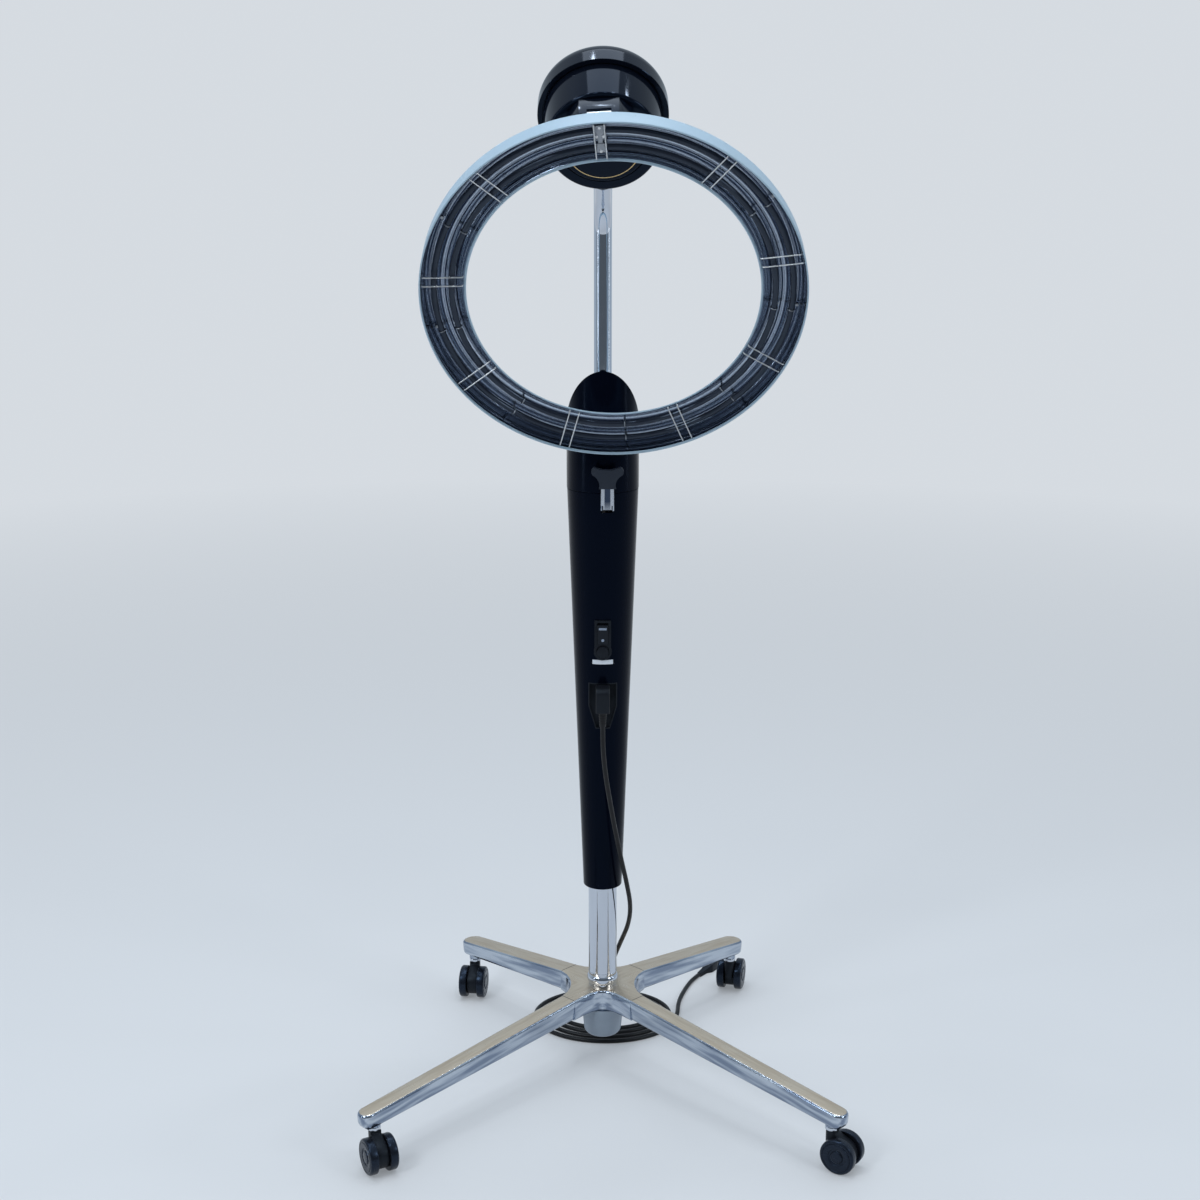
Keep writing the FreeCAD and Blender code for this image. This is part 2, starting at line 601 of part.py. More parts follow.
def make_column():
    """Bush, gas cylinder, inner tube, tapered cover, oblique cap, panel and pole clamp."""
    bush_r = TUBE_R + BUSH_WALL
    inner_r = bush_r + INNER_TUBE_WALL
    tube_foot = BUSH_FOOT + BUSH_FLANGE
    flange_r = COVER_FOOT_R - COVER_WALL - SEAT
    save("guide_bush", turned(
        (TUBE_R + RUNNING, BUSH_FOOT), (flange_r, BUSH_FOOT), (flange_r, tube_foot), (bush_r, tube_foot),
        (bush_r, BUSH_FOOT + BUSH_LENGTH), (TUBE_R + RUNNING, BUSH_FOOT + BUSH_LENGTH)))
    save("inner_tube", upright(inner_r, tube_foot, INNER_TUBE_TOP).cut(
        upright(bush_r, tube_foot - 1, INNER_TUBE_TOP + 1)))

    bore = CYLINDER_R - CYLINDER_WALL
    save("gas_cylinder", turned(
        (ROD_R + RUNNING, CYLINDER_FOOT), (CYLINDER_R, CYLINDER_FOOT), (CYLINDER_R, CYLINDER_TOP),
        (PIN_R, CYLINDER_TOP), (PIN_R, PIN_TOP), (0, PIN_TOP), (0, CYLINDER_TOP - CYLINDER_CAP),
        (bore, CYLINDER_TOP - CYLINDER_CAP), (bore, CYLINDER_FOOT + CYLINDER_CAP),
        (ROD_R + RUNNING, CYLINDER_FOOT + CYLINDER_CAP)))

    inner_foot = COVER_FOOT_R - COVER_WALL
    inner_top = COVER_TOP_R - COVER_WALL
    cover = turned((inner_foot, COVER_FOOT), (COVER_FOOT_R - 1.5, COVER_FOOT),
                   (cover_r(COVER_FOOT + 2), COVER_FOOT + 2), (COVER_TOP_R, COVER_TOP),
                   (inner_top, COVER_TOP))
    notch = block((LEVER_X - NOTCH_HALF, -COVER_TOP_R - 1, NOTCH_FOOT), (LEVER_X + NOTCH_HALF, -20, COVER_TOP + 1))
    window = block((-SWITCH_HALF - SEAT, -60, BEZEL_FOOT + 2), (SWITCH_HALF + SEAT, -30, BEZEL_TOP - 2))
    button = BUTTON_Z - ROCKER_Z
    button_window = cylinder(BUTTON_ROOM_R + SEAT, V(0, -10, button), V(0, 10, button))
    cover = cover.cut([notch, window, placed(button_window, on_cover(ROCKER_Z)), inlet_prism(0.0, -60, -30)])
    save("column_cover", cover)

    cap = upright(COVER_TOP_R, COVER_TOP, CAP_FRONT_TOP + 1)
    spigot_r = inner_top - SEAT - 10 * COVER_SLOPE
    spigot = upright(spigot_r, COVER_TOP - 10, COVER_TOP + 6)
    hollow = upright(inner_top, COVER_TOP, CAP_FRONT_TOP + 2)
    seat = upright(inner_top, COVER_TOP, COVER_TOP + 6)
    shell = cap.cut(hollow).fuse([spigot, seat]).cut(upright(spigot_r - 2, COVER_TOP - 11, COVER_TOP + 7))
    shell = shell.cut(block((LEVER_X - NOTCH_HALF, -60, COVER_TOP - 12), (LEVER_X + NOTCH_HALF, -20, COVER_TOP)))
    save("column_cap", shell.cut(cap_cut()).removeSplitter())

    plug = upright(inner_top - SEAT, CAP_BACK_TOP - 30, CAP_FRONT_TOP)
    pole_hole = upright(POLE_R + SEAT, CAP_BACK_TOP - 40, CAP_FRONT_TOP, y=POLE_Y)
    save("control_panel", plug.common(panel_slab(0.8, PANEL_THICK)).cut(pole_hole))
    board_room = block((-30, -6, CAP_BACK_TOP), (30, 42, CAP_FRONT_TOP))
    board = upright(inner_top - 6, CAP_BACK_TOP, CAP_FRONT_TOP).common(board_room)
    board = board.common(panel_slab(0.8 + PANEL_THICK + BOARD_GAP, BOARD_THICK))
    posts = [upright(3, CAP_BACK_TOP, CAP_FRONT_TOP, x, 12).common(
        panel_slab(0.8 + PANEL_THICK, BOARD_GAP)) for x in (-20, 20)]
    save("circuit_board", board.fuse(posts))

    seat_foot = INNER_TUBE_TOP
    seat_top = INNER_TUBE_TOP + CLAMP_SEAT
    left = LEVER_X - CHEEK_INNER - CHEEK_THICK
    right = LEVER_X + CHEEK_INNER + CHEEK_THICK
    clamp = upright(inner_r + 4, seat_foot, seat_top).fuse([
        upright(bush_r - SEAT, seat_foot - CLAMP_SPIGOT, seat_foot),
        block((-CLAMP_HALF, CLAMP_FRONT, CLAMP_BLOCK_FOOT), (CLAMP_HALF, CLAMP_BACK, CLAMP_BLOCK_TOP)),
        block((left, CLAMP_FRONT, seat_foot + 2), (left + CHEEK_THICK, CLAMP_BACK, CLAMP_BLOCK_FOOT)),
        block((right - CHEEK_THICK, CLAMP_FRONT, seat_foot + 2), (right, CLAMP_BACK, CLAMP_BLOCK_FOOT))])
    pin = cylinder(LEVER_PIN_R, V(left, LEVER_PIN_Y, LEVER_PIN_Z), V(right, LEVER_PIN_Y, LEVER_PIN_Z))
    clamp = clamp.cut([upright(CYLINDER_R, seat_foot - CLAMP_SPIGOT - 1, seat_top + 1),
                       upright(POLE_R, POLE_FOOT, CLAMP_BLOCK_TOP + 1, y=POLE_Y), pin])
    save("pole_clamp", clamp.removeSplitter())
    save("lever_pin", pin)


def make_lever():
    """Sheet-metal release lever through the cover's notch, with a winged handle outside."""
    foot = -COVER_TOP_R - 5
    over = turn(Z_AXIS, 0, x=LEVER_X)
    pin_y = LEVER_PIN_Y
    pin_z = LEVER_PIN_Z
    tongue_foot = pin_z - LEVER_TONGUE_DROP
    tongue_top = tongue_foot + LEVER_TONGUE_THICK
    arm = side_slab(LEVER_ARM_HALF, (LEVER_TAIL, tongue_foot), (LEVER_TAIL, tongue_top), (pin_y + 13, tongue_top),
                    (pin_y + 4, pin_z + 6), (foot, pin_z + 10), (foot - 3, pin_z + 10), (foot - 3, pin_z - 6),
                    (pin_y + 7, pin_z - 6), (pin_y + 11, tongue_foot))
    hollow = block((-LEVER_ARM_HALF + LEVER_SHEET, pin_y - 16, pin_z - 9),
                   (LEVER_ARM_HALF - LEVER_SHEET, LEVER_TAIL + 1, pin_z - 4))
    bore = cylinder(LEVER_PIN_R + RUNNING, V(-30, pin_y, pin_z), V(30, pin_y, pin_z))
    bend = HANDLE_FOOT + 1.5
    prong_top = HANDLE_FOOT + PRONG_IN_HANDLE
    plate = side_slab(LEVER_UPRIGHT_HALF, (foot, PRONG_FOOT), (foot - 5, bend), (foot - 8, prong_top),
                      (foot - 13, prong_top), (foot - 11, bend - 2), (foot - 6, PRONG_FOOT))
    prongs = plate.cut(block((-PRONG_INNER, foot - 30, PRONG_FOOT - 1), (PRONG_INNER, -20, bend + 1)))
    web_foot = PRONG_FOOT + PRONG_WEB_RISE
    web = side_slab(PRONG_INNER, (foot - 0.5, web_foot), (foot - 5, bend), (foot - 5.6, bend + 3),
                    (foot - 8.6, bend + 3), (foot - 8, bend), (foot - 3.5, web_foot))
    pad = block((-PAD_HALF, -PAD_HALF, tongue_foot), (LEVER_X - LEVER_ARM_HALF + 1, PAD_HALF, tongue_top))
    lever = placed(arm.cut([hollow, bore]).fuse([prongs, web]), over).fuse(pad).removeSplitter()
    save("lever_channel", lever)

    ear = HANDLE_WING_HALF
    narrow = HANDLE_FOOT_HALF
    front = outline((-narrow, HANDLE_FOOT), (narrow, HANDLE_FOOT),
                    (narrow + 1, HANDLE_FOOT + 12, ear - 1.5, HANDLE_TOP - 11),
                    (ear, HANDLE_TOP - 5, ear - 4, HANDLE_TOP), (0, HANDLE_TOP - 4, 4 - ear, HANDLE_TOP),
                    (-ear, HANDLE_TOP - 5, 1.5 - ear, HANDLE_TOP - 11),
                    (-narrow - 1, HANDLE_FOOT + 12, -narrow, HANDLE_FOOT),
                    plane=lambda x, z: V(x, -100, z))
    side = side_slab(ear + 1, (foot, HANDLE_FOOT), (foot - HANDLE_LEAN, HANDLE_TOP),
                     (foot - HANDLE_LEAN - HANDLE_THICK, HANDLE_TOP), (foot - HANDLE_THICK, HANDLE_FOOT))
    handle = placed(front.extrude(V(0, 80, 0)).common(side), over).cut(lever)
    save("lever_handle", handle)


def inlet_prism(inset, outer_y, inner_y):
    """Prism of the inlet recess: wide above, drawn to a narrow foot below."""
    half = INLET_HALF - inset
    foot_half = INLET_FOOT_HALF - inset / 2
    face = outline((-half, INLET_TOP - inset), (half, INLET_TOP - inset), (half, INLET_WAIST),
                   (foot_half, INLET_FOOT + inset), (-foot_half, INLET_FOOT + inset), (-half, INLET_WAIST),
                   plane=lambda x, z: V(x, outer_y, z))
    return face.extrude(V(0, inner_y - outer_y, 0))


def make_switch():
    """Bezel, switch housing, rocker and reset button on the cover's sloping front."""
    frame = on_cover(ROCKER_Z)
    low = BEZEL_FOOT - ROCKER_Z
    high = BEZEL_TOP - ROCKER_Z
    button = BUTTON_Z - ROCKER_Z
    gap = ROCKER_END_GAP
    mouth = block((-ROCKER_HALF - LOOSE, -20, -ROCKER_REACH - gap),
                  (ROCKER_HALF + LOOSE, 20, ROCKER_REACH + gap))
    button_hole = cylinder(BUTTON_R + LOOSE, V(0, -20, button), V(0, 20, button))
    bezel = block((-BEZEL_HALF, -BEZEL_PROUD, button), (BEZEL_HALF, BEZEL_PROUD, high))
    collar = cylinder(BUTTON_COLLAR_R, V(0, -BEZEL_PROUD, button), V(0, BEZEL_PROUD + 2, button))
    bezel = bezel.fuse(collar).cut([mouth, button_hole])
    cover_solid = placed(cone(COVER_FOOT_R, COVER_TOP_R, COVER_FOOT, COVER_TOP), frame.inverse())
    bezel = bezel.cut(cover_solid)
    save("switch_bezel", placed(bezel, frame))

    house = block((-SWITCH_HALF, 0, low + SWITCH_END), (SWITCH_HALF, SWITCH_DEPTH, high - SWITCH_END))
    room = block((-ROCKER_HALF - LOOSE, -1, -ROCKER_REACH - gap),
                 (ROCKER_HALF + LOOSE, SWITCH_DEPTH - INLET_WALL, ROCKER_REACH + gap))
    pivot = cylinder(ROCKER_PIVOT_R + RUNNING, V(-SWITCH_HALF, ROCKER_PIVOT_IN, 0),
                     V(SWITCH_HALF, ROCKER_PIVOT_IN, 0))
    flange_end = BUTTON_SUNK + BUTTON_FLANGE + BUTTON_TRAVEL + LOOSE
    stem_end = BUTTON_SUNK + BUTTON_STEM + BUTTON_TRAVEL + LOOSE
    button_room = cylinder(BUTTON_FLANGE_R + LOOSE, V(0, -1, button), V(0, flange_end, button))
    stem_room = cylinder(BUTTON_STEM_R + RUNNING, V(0, 0, button), V(0, stem_end, button))
    house = house.fuse(cylinder(BUTTON_ROOM_R, V(0, 0, button), V(0, SWITCH_DEPTH, button)))
    house = house.common(cover_solid).removeSplitter()
    save("switch_body", placed(house.cut([room, pivot, button_room, stem_room]), frame))

    rocker = outline(
        (-ROCKER_PROUD, ROCKER_REACH), (-ROCKER_WAIST, 0), (-ROCKER_PROUD, -ROCKER_REACH),
        (ROCKER_PIVOT_IN - 1, -ROCKER_REACH + 1), (ROCKER_PIVOT_IN + ROCKER_BACK_R, 0,
                                                    ROCKER_PIVOT_IN - 1, ROCKER_REACH - 1),
        plane=lambda y, z: V(-ROCKER_HALF, y, z)).extrude(V(2 * ROCKER_HALF, 0, 0))
    rocker = rocker.fuse(cylinder(ROCKER_PIVOT_R, V(-SWITCH_HALF, ROCKER_PIVOT_IN, 0),
                                  V(SWITCH_HALF, ROCKER_PIVOT_IN, 0)))
    swing = turn(X_AXIS, ROCKER_SWING / 2, y=ROCKER_PIVOT_IN)
    save("rocker_switch", placed(rocker, frame, swing, turn(X_AXIS, 0, y=-ROCKER_PIVOT_IN)))

    head = cylinder(BUTTON_R, V(0, -BUTTON_PROUD - BEZEL_PROUD, button), V(0, BUTTON_SUNK, button))
    flange = cylinder(BUTTON_FLANGE_R, V(0, BUTTON_SUNK, button), V(0, BUTTON_SUNK + BUTTON_FLANGE, button))
    stem = cylinder(BUTTON_STEM_R, V(0, BUTTON_SUNK, button), V(0, BUTTON_SUNK + BUTTON_STEM, button))
    save("reset_button", placed(head.fuse([flange, stem]), frame))


def make_inlet():
    """Recessed inlet, plugged connector, its strain relief."""
    floor_y = -cover_r(INLET_WAIST + 15) + INLET_DEPTH
    back_y = floor_y + INLET_WALL
    tray = inlet_prism(0.0, -60, back_y).cut(inlet_prism(INLET_WALL, -61, floor_y))
    tray = tray.common(cone(COVER_FOOT_R, COVER_TOP_R, COVER_FOOT, COVER_TOP))
    save("inlet_socket", tray)

    wall_y = -cover_r(INLET_TOP)
    foot = CONNECTOR_FOOT - CONNECTOR_CHIN
    brow = CONNECTOR_TOP + CONNECTOR_CHIN
    round_r = 2 * CONNECTOR_CHIN
    bow = round_r * (1 - math.cos(math.pi / 4))
    body = side_slab(CONNECTOR_HALF, (floor_y, CONNECTOR_FOOT), (floor_y, CONNECTOR_TOP),
                     (wall_y - 2, CONNECTOR_TOP), (wall_y - 2 - CONNECTOR_CHIN, brow),
                     (CONNECTOR_FRONT + round_r, brow),
                     (CONNECTOR_FRONT + bow, brow - bow, CONNECTOR_FRONT, brow - round_r),
                     (CONNECTOR_FRONT, foot), (CORD_START_Y + RELIEF_TOP_R + 3, foot),
                     (wall_y - 3, CONNECTOR_FOOT))
    save("cord_connector", body)
    save("strain_relief", Part.makeCone(RELIEF_FOOT_R, RELIEF_TOP_R, RELIEF_LENGTH,
                                        V(0, CORD_START_Y, RELIEF_FOOT), Z_AXIS))


def pole_path():
    """Bend centre, end of the bend, direction of the end run and the pole's end."""
    lean = math.radians(POLE_LEAN)
    centre = V(0, POLE_Y - POLE_BEND_R, POLE_BEND_START)
    bend_end = centre + V(0, math.cos(lean), math.sin(lean)) * POLE_BEND_R
    way = V(0, -math.sin(lean), math.cos(lean))
    return centre, bend_end, way, bend_end + way * POLE_END_RUN


def make_pole():
    """Bent chrome pole with a collar under the head's boss."""
    centre, bend_end, way, end = pole_path()

    def rod(radius):
        disc = Part.Face(Part.Wire(Part.Circle(V(0, POLE_Y, POLE_BEND_START), Z_AXIS, radius).toShape()))
        bend = disc.revolve(centre, X_AXIS, POLE_LEAN)
        return upright(radius, POLE_FOOT, POLE_BEND_START, y=POLE_Y), bend, cylinder(radius, bend_end, end)

    outer = rod(POLE_R)
    inner = rod(POLE_R - POLE_WALL)
    pole = outer[0].fuse([outer[1], outer[2]]).removeSplitter()
    pole = pole.cut(inner[0]).cut(inner[1]).cut(inner[2])
    save("upper_pole", pole)
    top = end - way * BOSS_LENGTH
    foot = top - way * COLLAR_LENGTH
    save("pole_collar", cylinder(COLLAR_R, foot, top).cut(cylinder(POLE_R, foot - way, top + way)))


def make_head():
    """Dome with the pole's boss, motor drum, bearing, gear motor and slip ring."""
    centre, bend_end, way, end = pole_path()
    fillet_r = DOME_R - DOME_FILLET
    bow = DOME_FILLET * math.cos(math.pi / 4)
    fillet_z = DOME_STRAIGHT
    inner = DOME_R - DOME_WALL
    inner_back = DOME_BACK + DOME_WALL
    dome = turned(
        (DOME_MOUTH_R, -DRUM_LENGTH), (DOME_MOUTH_R, -DRUM_LENGTH + DOME_LIP), (DOME_R - 1, -DRUM_LENGTH + DOME_LIP),
        (DOME_R, -DRUM_LENGTH + DOME_LIP - 1), (DOME_R, fillet_z),
        (fillet_r + bow, fillet_z - bow, fillet_r, DOME_BACK), (0, DOME_BACK), (0, inner_back),
        (fillet_r, inner_back), (fillet_r + bow - DOME_WALL, fillet_z - bow + DOME_WALL),
        (inner, fillet_z), (inner, -DRUM_LENGTH))
    dome_world = placed(dome, HEAD)
    boss = cylinder(BOSS_R, end - way * BOSS_LENGTH, end + way * BOSS_IN)
    keep_out = placed(upright(inner, DOME_BACK + DOME_WALL, -DRUM_LENGTH).fuse(
        upright(DOME_MOUTH_R, -DRUM_LENGTH - 1, 40)), HEAD)
    bore = cylinder(POLE_R, end - way * (BOSS_LENGTH + 1), end + way * 12)
    boss = boss.cut(keep_out)
    shell = dome_world.fuse(boss).cut(bore)
    save("dome_shell", shell.removeSplitter())

    mouth = DRUM_MOUTH_R
    wall_back = DRUM_BACK_R - DRUM_WALL
    drum = turned(
        (mouth, 0), (DRUM_R - DRUM_EDGE, 0), (DRUM_R - 0.3 * DRUM_EDGE, -0.3 * DRUM_EDGE, DRUM_R, -DRUM_EDGE),
        (DRUM_BACK_R, -DRUM_LENGTH),
        (inner - SEAT, -DRUM_LENGTH), (inner - SEAT, -DRUM_LENGTH - DRUM_RIM),
        (wall_back, -DRUM_LENGTH - DRUM_RIM), (DRUM_R - DRUM_WALL + 0.8, SPIDER_FRONT - SPIDER_THICK),
        (BEARING_HOUSE_R, SPIDER_FRONT - SPIDER_THICK), (BEARING_HOUSE_R, BEARING_HOUSE_BACK),
        (BEARING_R, BEARING_HOUSE_BACK), (BEARING_R, SPIDER_FRONT), (DRUM_R - DRUM_WALL, SPIDER_FRONT),
        (DRUM_R - DRUM_WALL, -DRUM_WALL), (mouth, -DRUM_WALL))
    posts = []
    for angle in (90, 210, 330):
        post_x = POST_CIRCLE_R * math.cos(math.radians(angle))
        post_y = POST_CIRCLE_R * math.sin(math.radians(angle))
        posts.append(upright(POST_R, POST_BACK, SPIDER_FRONT - SPIDER_THICK, post_x, post_y))
    save("drum_shell", placed(drum.fuse(posts), HEAD))

    save("shaft_bearing", placed(upright(BEARING_R, BEARING_BACK, BEARING_FRONT).cut(
        upright(SHAFT_R, BEARING_BACK - 1, BEARING_FRONT + 1)), HEAD))
    motor = upright(MOTOR_R, MOTOR_BACK, POST_BACK - MOTOR_FLANGE).fuse([
        upright(MOTOR_FLANGE_R, POST_BACK - MOTOR_FLANGE, POST_BACK),
        upright(MOTOR_SHAFT_R, POST_BACK, MOTOR_SHAFT_FRONT)])
    save("gear_motor", placed(motor, HEAD))
    slip_back = BEARING_HOUSE_BACK - SLIP_RING_LENGTH
    save("slip_ring", placed(upright(SLIP_RING_R, slip_back, BEARING_HOUSE_BACK).cut(
        upright(SHAFT_R + LOOSE, slip_back - 1, BEARING_HOUSE_BACK + 1)), HEAD))


def make_arm():
    """Rotor disc, its shaft and the box that carries the ring's hinge."""
    step_top = DISC_FRONT + DISC_STEP
    disc = turned((0, DISC_BACK), (DISC_R, DISC_BACK), (DISC_R, DISC_FRONT - 1.5),
                  (DISC_R - 1.5, DISC_FRONT), (DISC_STEP_R, DISC_FRONT), (DISC_STEP_R, step_top - 1.5),
                  (DISC_STEP_R - 1.5, step_top), (0, step_top))
    save("rotor_disc", placed(disc, HEAD, ORBIT))
    shaft_back = POST_BACK + 1
    shaft = upright(SHAFT_R - RUNNING, shaft_back, DISC_BACK).cut(
        upright(MOTOR_SHAFT_R + RUNNING, shaft_back - 1, MOTOR_SHAFT_FRONT + LOOSE))
    save("drive_shaft", placed(shaft, HEAD, ORBIT))

    def box_outline(inset, foot, top):
        return front_slab(
            foot, top, (-ARM_HALF + inset, ARM_FOOT + inset), (ARM_HALF - inset, ARM_FOOT + inset),
            (ARM_HALF - inset, ARM_SHOULDER), (ARM_TOP_HALF - inset / 2, ARM_TOP - inset),
            (inset / 2 - ARM_TOP_HALF, ARM_TOP - inset), (inset - ARM_HALF, ARM_SHOULDER))

    def behind_ring(back):
        """Everything in front of a plane the given distance behind the ring's back face."""
        return placed(block((-100, 100, -RING_DEPTH - back), (100, 320, 60)), RING)

    box = box_outline(0.0, DISC_FRONT, 60).cut(behind_ring(ARM_BACKED))
    hollow = box_outline(ARM_WALL, DISC_FRONT + ARM_WALL, 60).cut(behind_ring(ARM_BACKED + ARM_WALL))
    hollow = hollow.cut(placed(block((-100, HINGE_Y - 12, -200), (100, 400, 60)), RING))
    hinge_z = -RING_DEPTH - HINGE_BACK
    pocket = placed(block((-BARREL_HALF - LOOSE, HINGE_Y - BARREL_R - 1, hinge_z - BARREL_R - 1),
                          (BARREL_HALF + LOOSE, HINGE_Y + 40, 60)), RING)
    bore = placed(cylinder(HINGE_PIN_R + RUNNING, V(-60, HINGE_Y, hinge_z), V(60, HINGE_Y, hinge_z)), RING)
    save("arm_box", placed(box.cut([hollow, pocket, bore, disc]), HEAD, ORBIT))


def make_ring():
    """Hinge, ring shell, reflector, two heater rings, their clips and the guard wires."""
    ways = (HEAD, ORBIT, RING)
    back = -RING_DEPTH
    hinge_z = back - HINGE_BACK
    pin = cylinder(HINGE_PIN_R, V(-ARM_TOP_HALF + 1, HINGE_Y, hinge_z), V(ARM_TOP_HALF - 1, HINGE_Y, hinge_z))
    leaf = block((-LEAF_HALF, LEAF_FOOT, back - LEAF_THICK), (LEAF_HALF, HINGE_Y - 5, back))
    tongue = block((-BARREL_HALF, HINGE_Y - 12, back - LEAF_THICK), (BARREL_HALF, HINGE_Y, back - 1))
    barrel = cylinder(BARREL_R, V(-BARREL_HALF, HINGE_Y, hinge_z), V(BARREL_HALF, HINGE_Y, hinge_z))
    save("ring_bracket", placed(leaf.fuse([tongue, barrel]).cut(pin).removeSplitter(), *ways))
    save("hinge_pin", placed(pin, *ways))

    corner_r = RING_R - 0.5 - RING_CORNER
    corner_z = back + RING_CORNER
    bow = RING_CORNER * math.cos(math.pi / 4)
    small = RING_CORNER - RING_WALL
    small_bow = small * math.cos(math.pi / 4)
    lip = -RING_INNER_SET
    shell = turned(
        (RING_R, 0), (RING_R - 0.5, corner_z), (corner_r + bow, corner_z - bow, corner_r, back),
        (RING_SLOPE_R, back), (RING_INNER_R, lip), (RING_INNER_R + RING_WALL, lip),
        (RING_SLOPE_R + 1.2, back + RING_WALL), (corner_r, back + RING_WALL),
        (corner_r + small_bow, corner_z - small_bow, corner_r + small, corner_z), (RING_R - RING_WALL, 0))
    save("ring_shell", placed(shell, *ways))

    facets = reflector_facets()
    below = [(r, z - REFLECTOR_WALL) for r, z in reversed(facets)]
    save("reflector", placed(turned(*facets, *below), *ways))

    heaters = []
    for circle_r in HEATER_CIRCLES:
        gap = math.degrees(TERMINAL_HALF / circle_r)
        section = Part.Face(Part.Wire(Part.Circle(V(circle_r, 0, -HEATER_SET), Y_AXIS, HEATER_R).toShape()))
        loop = section.revolve(V(0, 0, 0), Z_AXIS, 360 - 2 * gap)
        heaters.append(placed(loop, *ways, turn(Z_AXIS, 90 + gap)))
    save("heater_tubes", *heaters)

    clips = []
    for angle in CLIP_ANGLES:
        for circle_r in HEATER_CIRCLES:
            seat = facet_height(circle_r)
            ring = cylinder(CLIP_RING_R, V(circle_r, -CLIP_WIDTH / 2, -HEATER_SET),
                            V(circle_r, CLIP_WIDTH / 2, -HEATER_SET))
            post = upright(CLIP_POST_R, seat, -HEATER_SET - HEATER_R - 0.5, circle_r)
            hole = Part.makeTorus(circle_r, HEATER_R + RUNNING, V(0, 0, -HEATER_SET), Z_AXIS)
            clips.append(placed(ring.fuse(post).cut(hole), *ways, turn(Z_AXIS, angle)))
    save("tube_clips", *clips)

    inner_tube, outer_tube = min(HEATER_CIRCLES), max(HEATER_CIRCLES)
    low = facet_height((inner_tube + outer_tube) / 2 + 8)
    middle = (inner_tube + outer_tube) / 2
    plate = block((-TERMINAL_HALF, middle, TERMINAL_FOOT), (TERMINAL_HALF, outer_tube + HEATER_R + 3, TERMINAL_TOP))
    inner_clip = block((-TERMINAL_HALF, inner_tube - TERMINAL_CLIP, TERMINAL_FOOT),
                       (TERMINAL_HALF, inner_tube + TERMINAL_CLIP, TERMINAL_TOP))
    strap = block((-TERMINAL_STRAP, inner_tube, TERMINAL_FOOT), (TERMINAL_STRAP, middle + 1, TERMINAL_TOP - 1))
    foot = block((-6, middle + 6.5, low), (6, middle + 11, -HEATER_SET))
    cut_ends = [placed(heater, RING.inverse(), ORBIT.inverse(), HEAD.inverse()) for heater in heaters]
    save("terminal_clip", placed(plate.fuse([inner_clip, strap, foot]).cut(cut_ends), *ways))

    wires = []
    outer_end = V(RING_R - RING_WALL - SEAT, 0, -2.2)
    inner_end = V(RING_INNER_R + RING_WALL + SEAT + 0.6, 0, -RING_INNER_SET + 0.8)
    for angle in WIRE_ANGLES:
        for side in (-WIRE_PAIR / 2, WIRE_PAIR / 2):
            sunk = math.sqrt(outer_end.x ** 2 - side ** 2)
            start = V(sunk, side, outer_end.z)
            end = V(math.sqrt(inner_end.x ** 2 - side ** 2), side, inner_end.z)
            wires.append(placed(cylinder(WIRE_R, start, end), *ways, turn(Z_AXIS, angle)))
    save("guard_wires", *wires)


def reflector_facets():
    """Polished pan of the ring: points (radius, height) of its upper side, from the inner lip out."""
    floor = -RING_DEPTH + RING_WALL + REFLECTOR_WALL + 0.5
    inner = RING_INNER_R + RING_WALL + SEAT
    outer = RING_R - RING_WALL - SEAT
    middle = (min(HEATER_CIRCLES) + max(HEATER_CIRCLES)) / 2
    return [(inner + 1.5, -RING_INNER_SET - 1.5), (RING_SLOPE_R + 1.8, floor), (middle - 6, floor),
            (middle, floor + 5), (middle + 6, floor), (outer - 10, floor), (outer - 1.5, floor + 9),
            (outer, -4.0)]


def facet_height(radius):
    """Height of the reflector's upper side at a radius."""
    facets = reflector_facets()
    for (r0, z0), (r1, z1) in zip(facets, facets[1:]):
        if r0 <= radius <= r1:
            return z0 + (z1 - z0) * (radius - r0) / (r1 - r0)
    raise ValueError("radius lies off the reflector")


def rounded_path(points):
    """Straight runs joined by the largest tangent arcs their lengths allow."""
    points = [V(*p) for p in points]
    here = points[0]
    edges = []
    radii = []
    for before, corner, after in zip(points, points[1:], points[2:]):
        come = corner - before
        leave = after - corner
        half_turn = come.getAngle(leave) / 2
        shorter = min(come.Length, leave.Length)
        radius = 0.45 * shorter / math.tan(half_turn)
        radii.append(radius)
        start = corner - V(come).normalize() * 0.45 * shorter
        end = corner + V(leave).normalize() * 0.45 * shorter
        inward = (V(leave).normalize() - V(come).normalize()).normalize()
        centre = corner + inward * (radius / math.cos(half_turn))
        middle = centre + (corner - centre).normalize() * radius
        edges.append(Part.LineSegment(here, start).toShape())
        edges.append(Part.Arc(start, middle, end).toShape())
        here = end
    edges.append(Part.LineSegment(here, points[-1]).toShape())
    print("cord radii", " ".join("%.0f" % r for r in radii))
    return Part.Wire(edges)


def swept_tube(path, start, way, sides):
    """Tube of the cord's section along a path, checked against section times length."""
    ring = [V(CORD_R * math.cos(2 * math.pi * k / sides), CORD_R * math.sin(2 * math.pi * k / sides), 0)
            for k in range(sides)]
    square = FreeCAD.Placement(start, FreeCAD.Rotation(Z_AXIS, way))
    wire = Part.makePolygon([square.multVec(p) for p in ring + ring[:1]])
    solid = path.makePipeShell([wire], True, False)
    area = 0.5 * sides * CORD_R ** 2 * math.sin(2 * math.pi / sides)
    print("cord length %.0f, volume ratio %.4f" % (path.Length, solid.Volume / (area * path.Length)))
    return solid


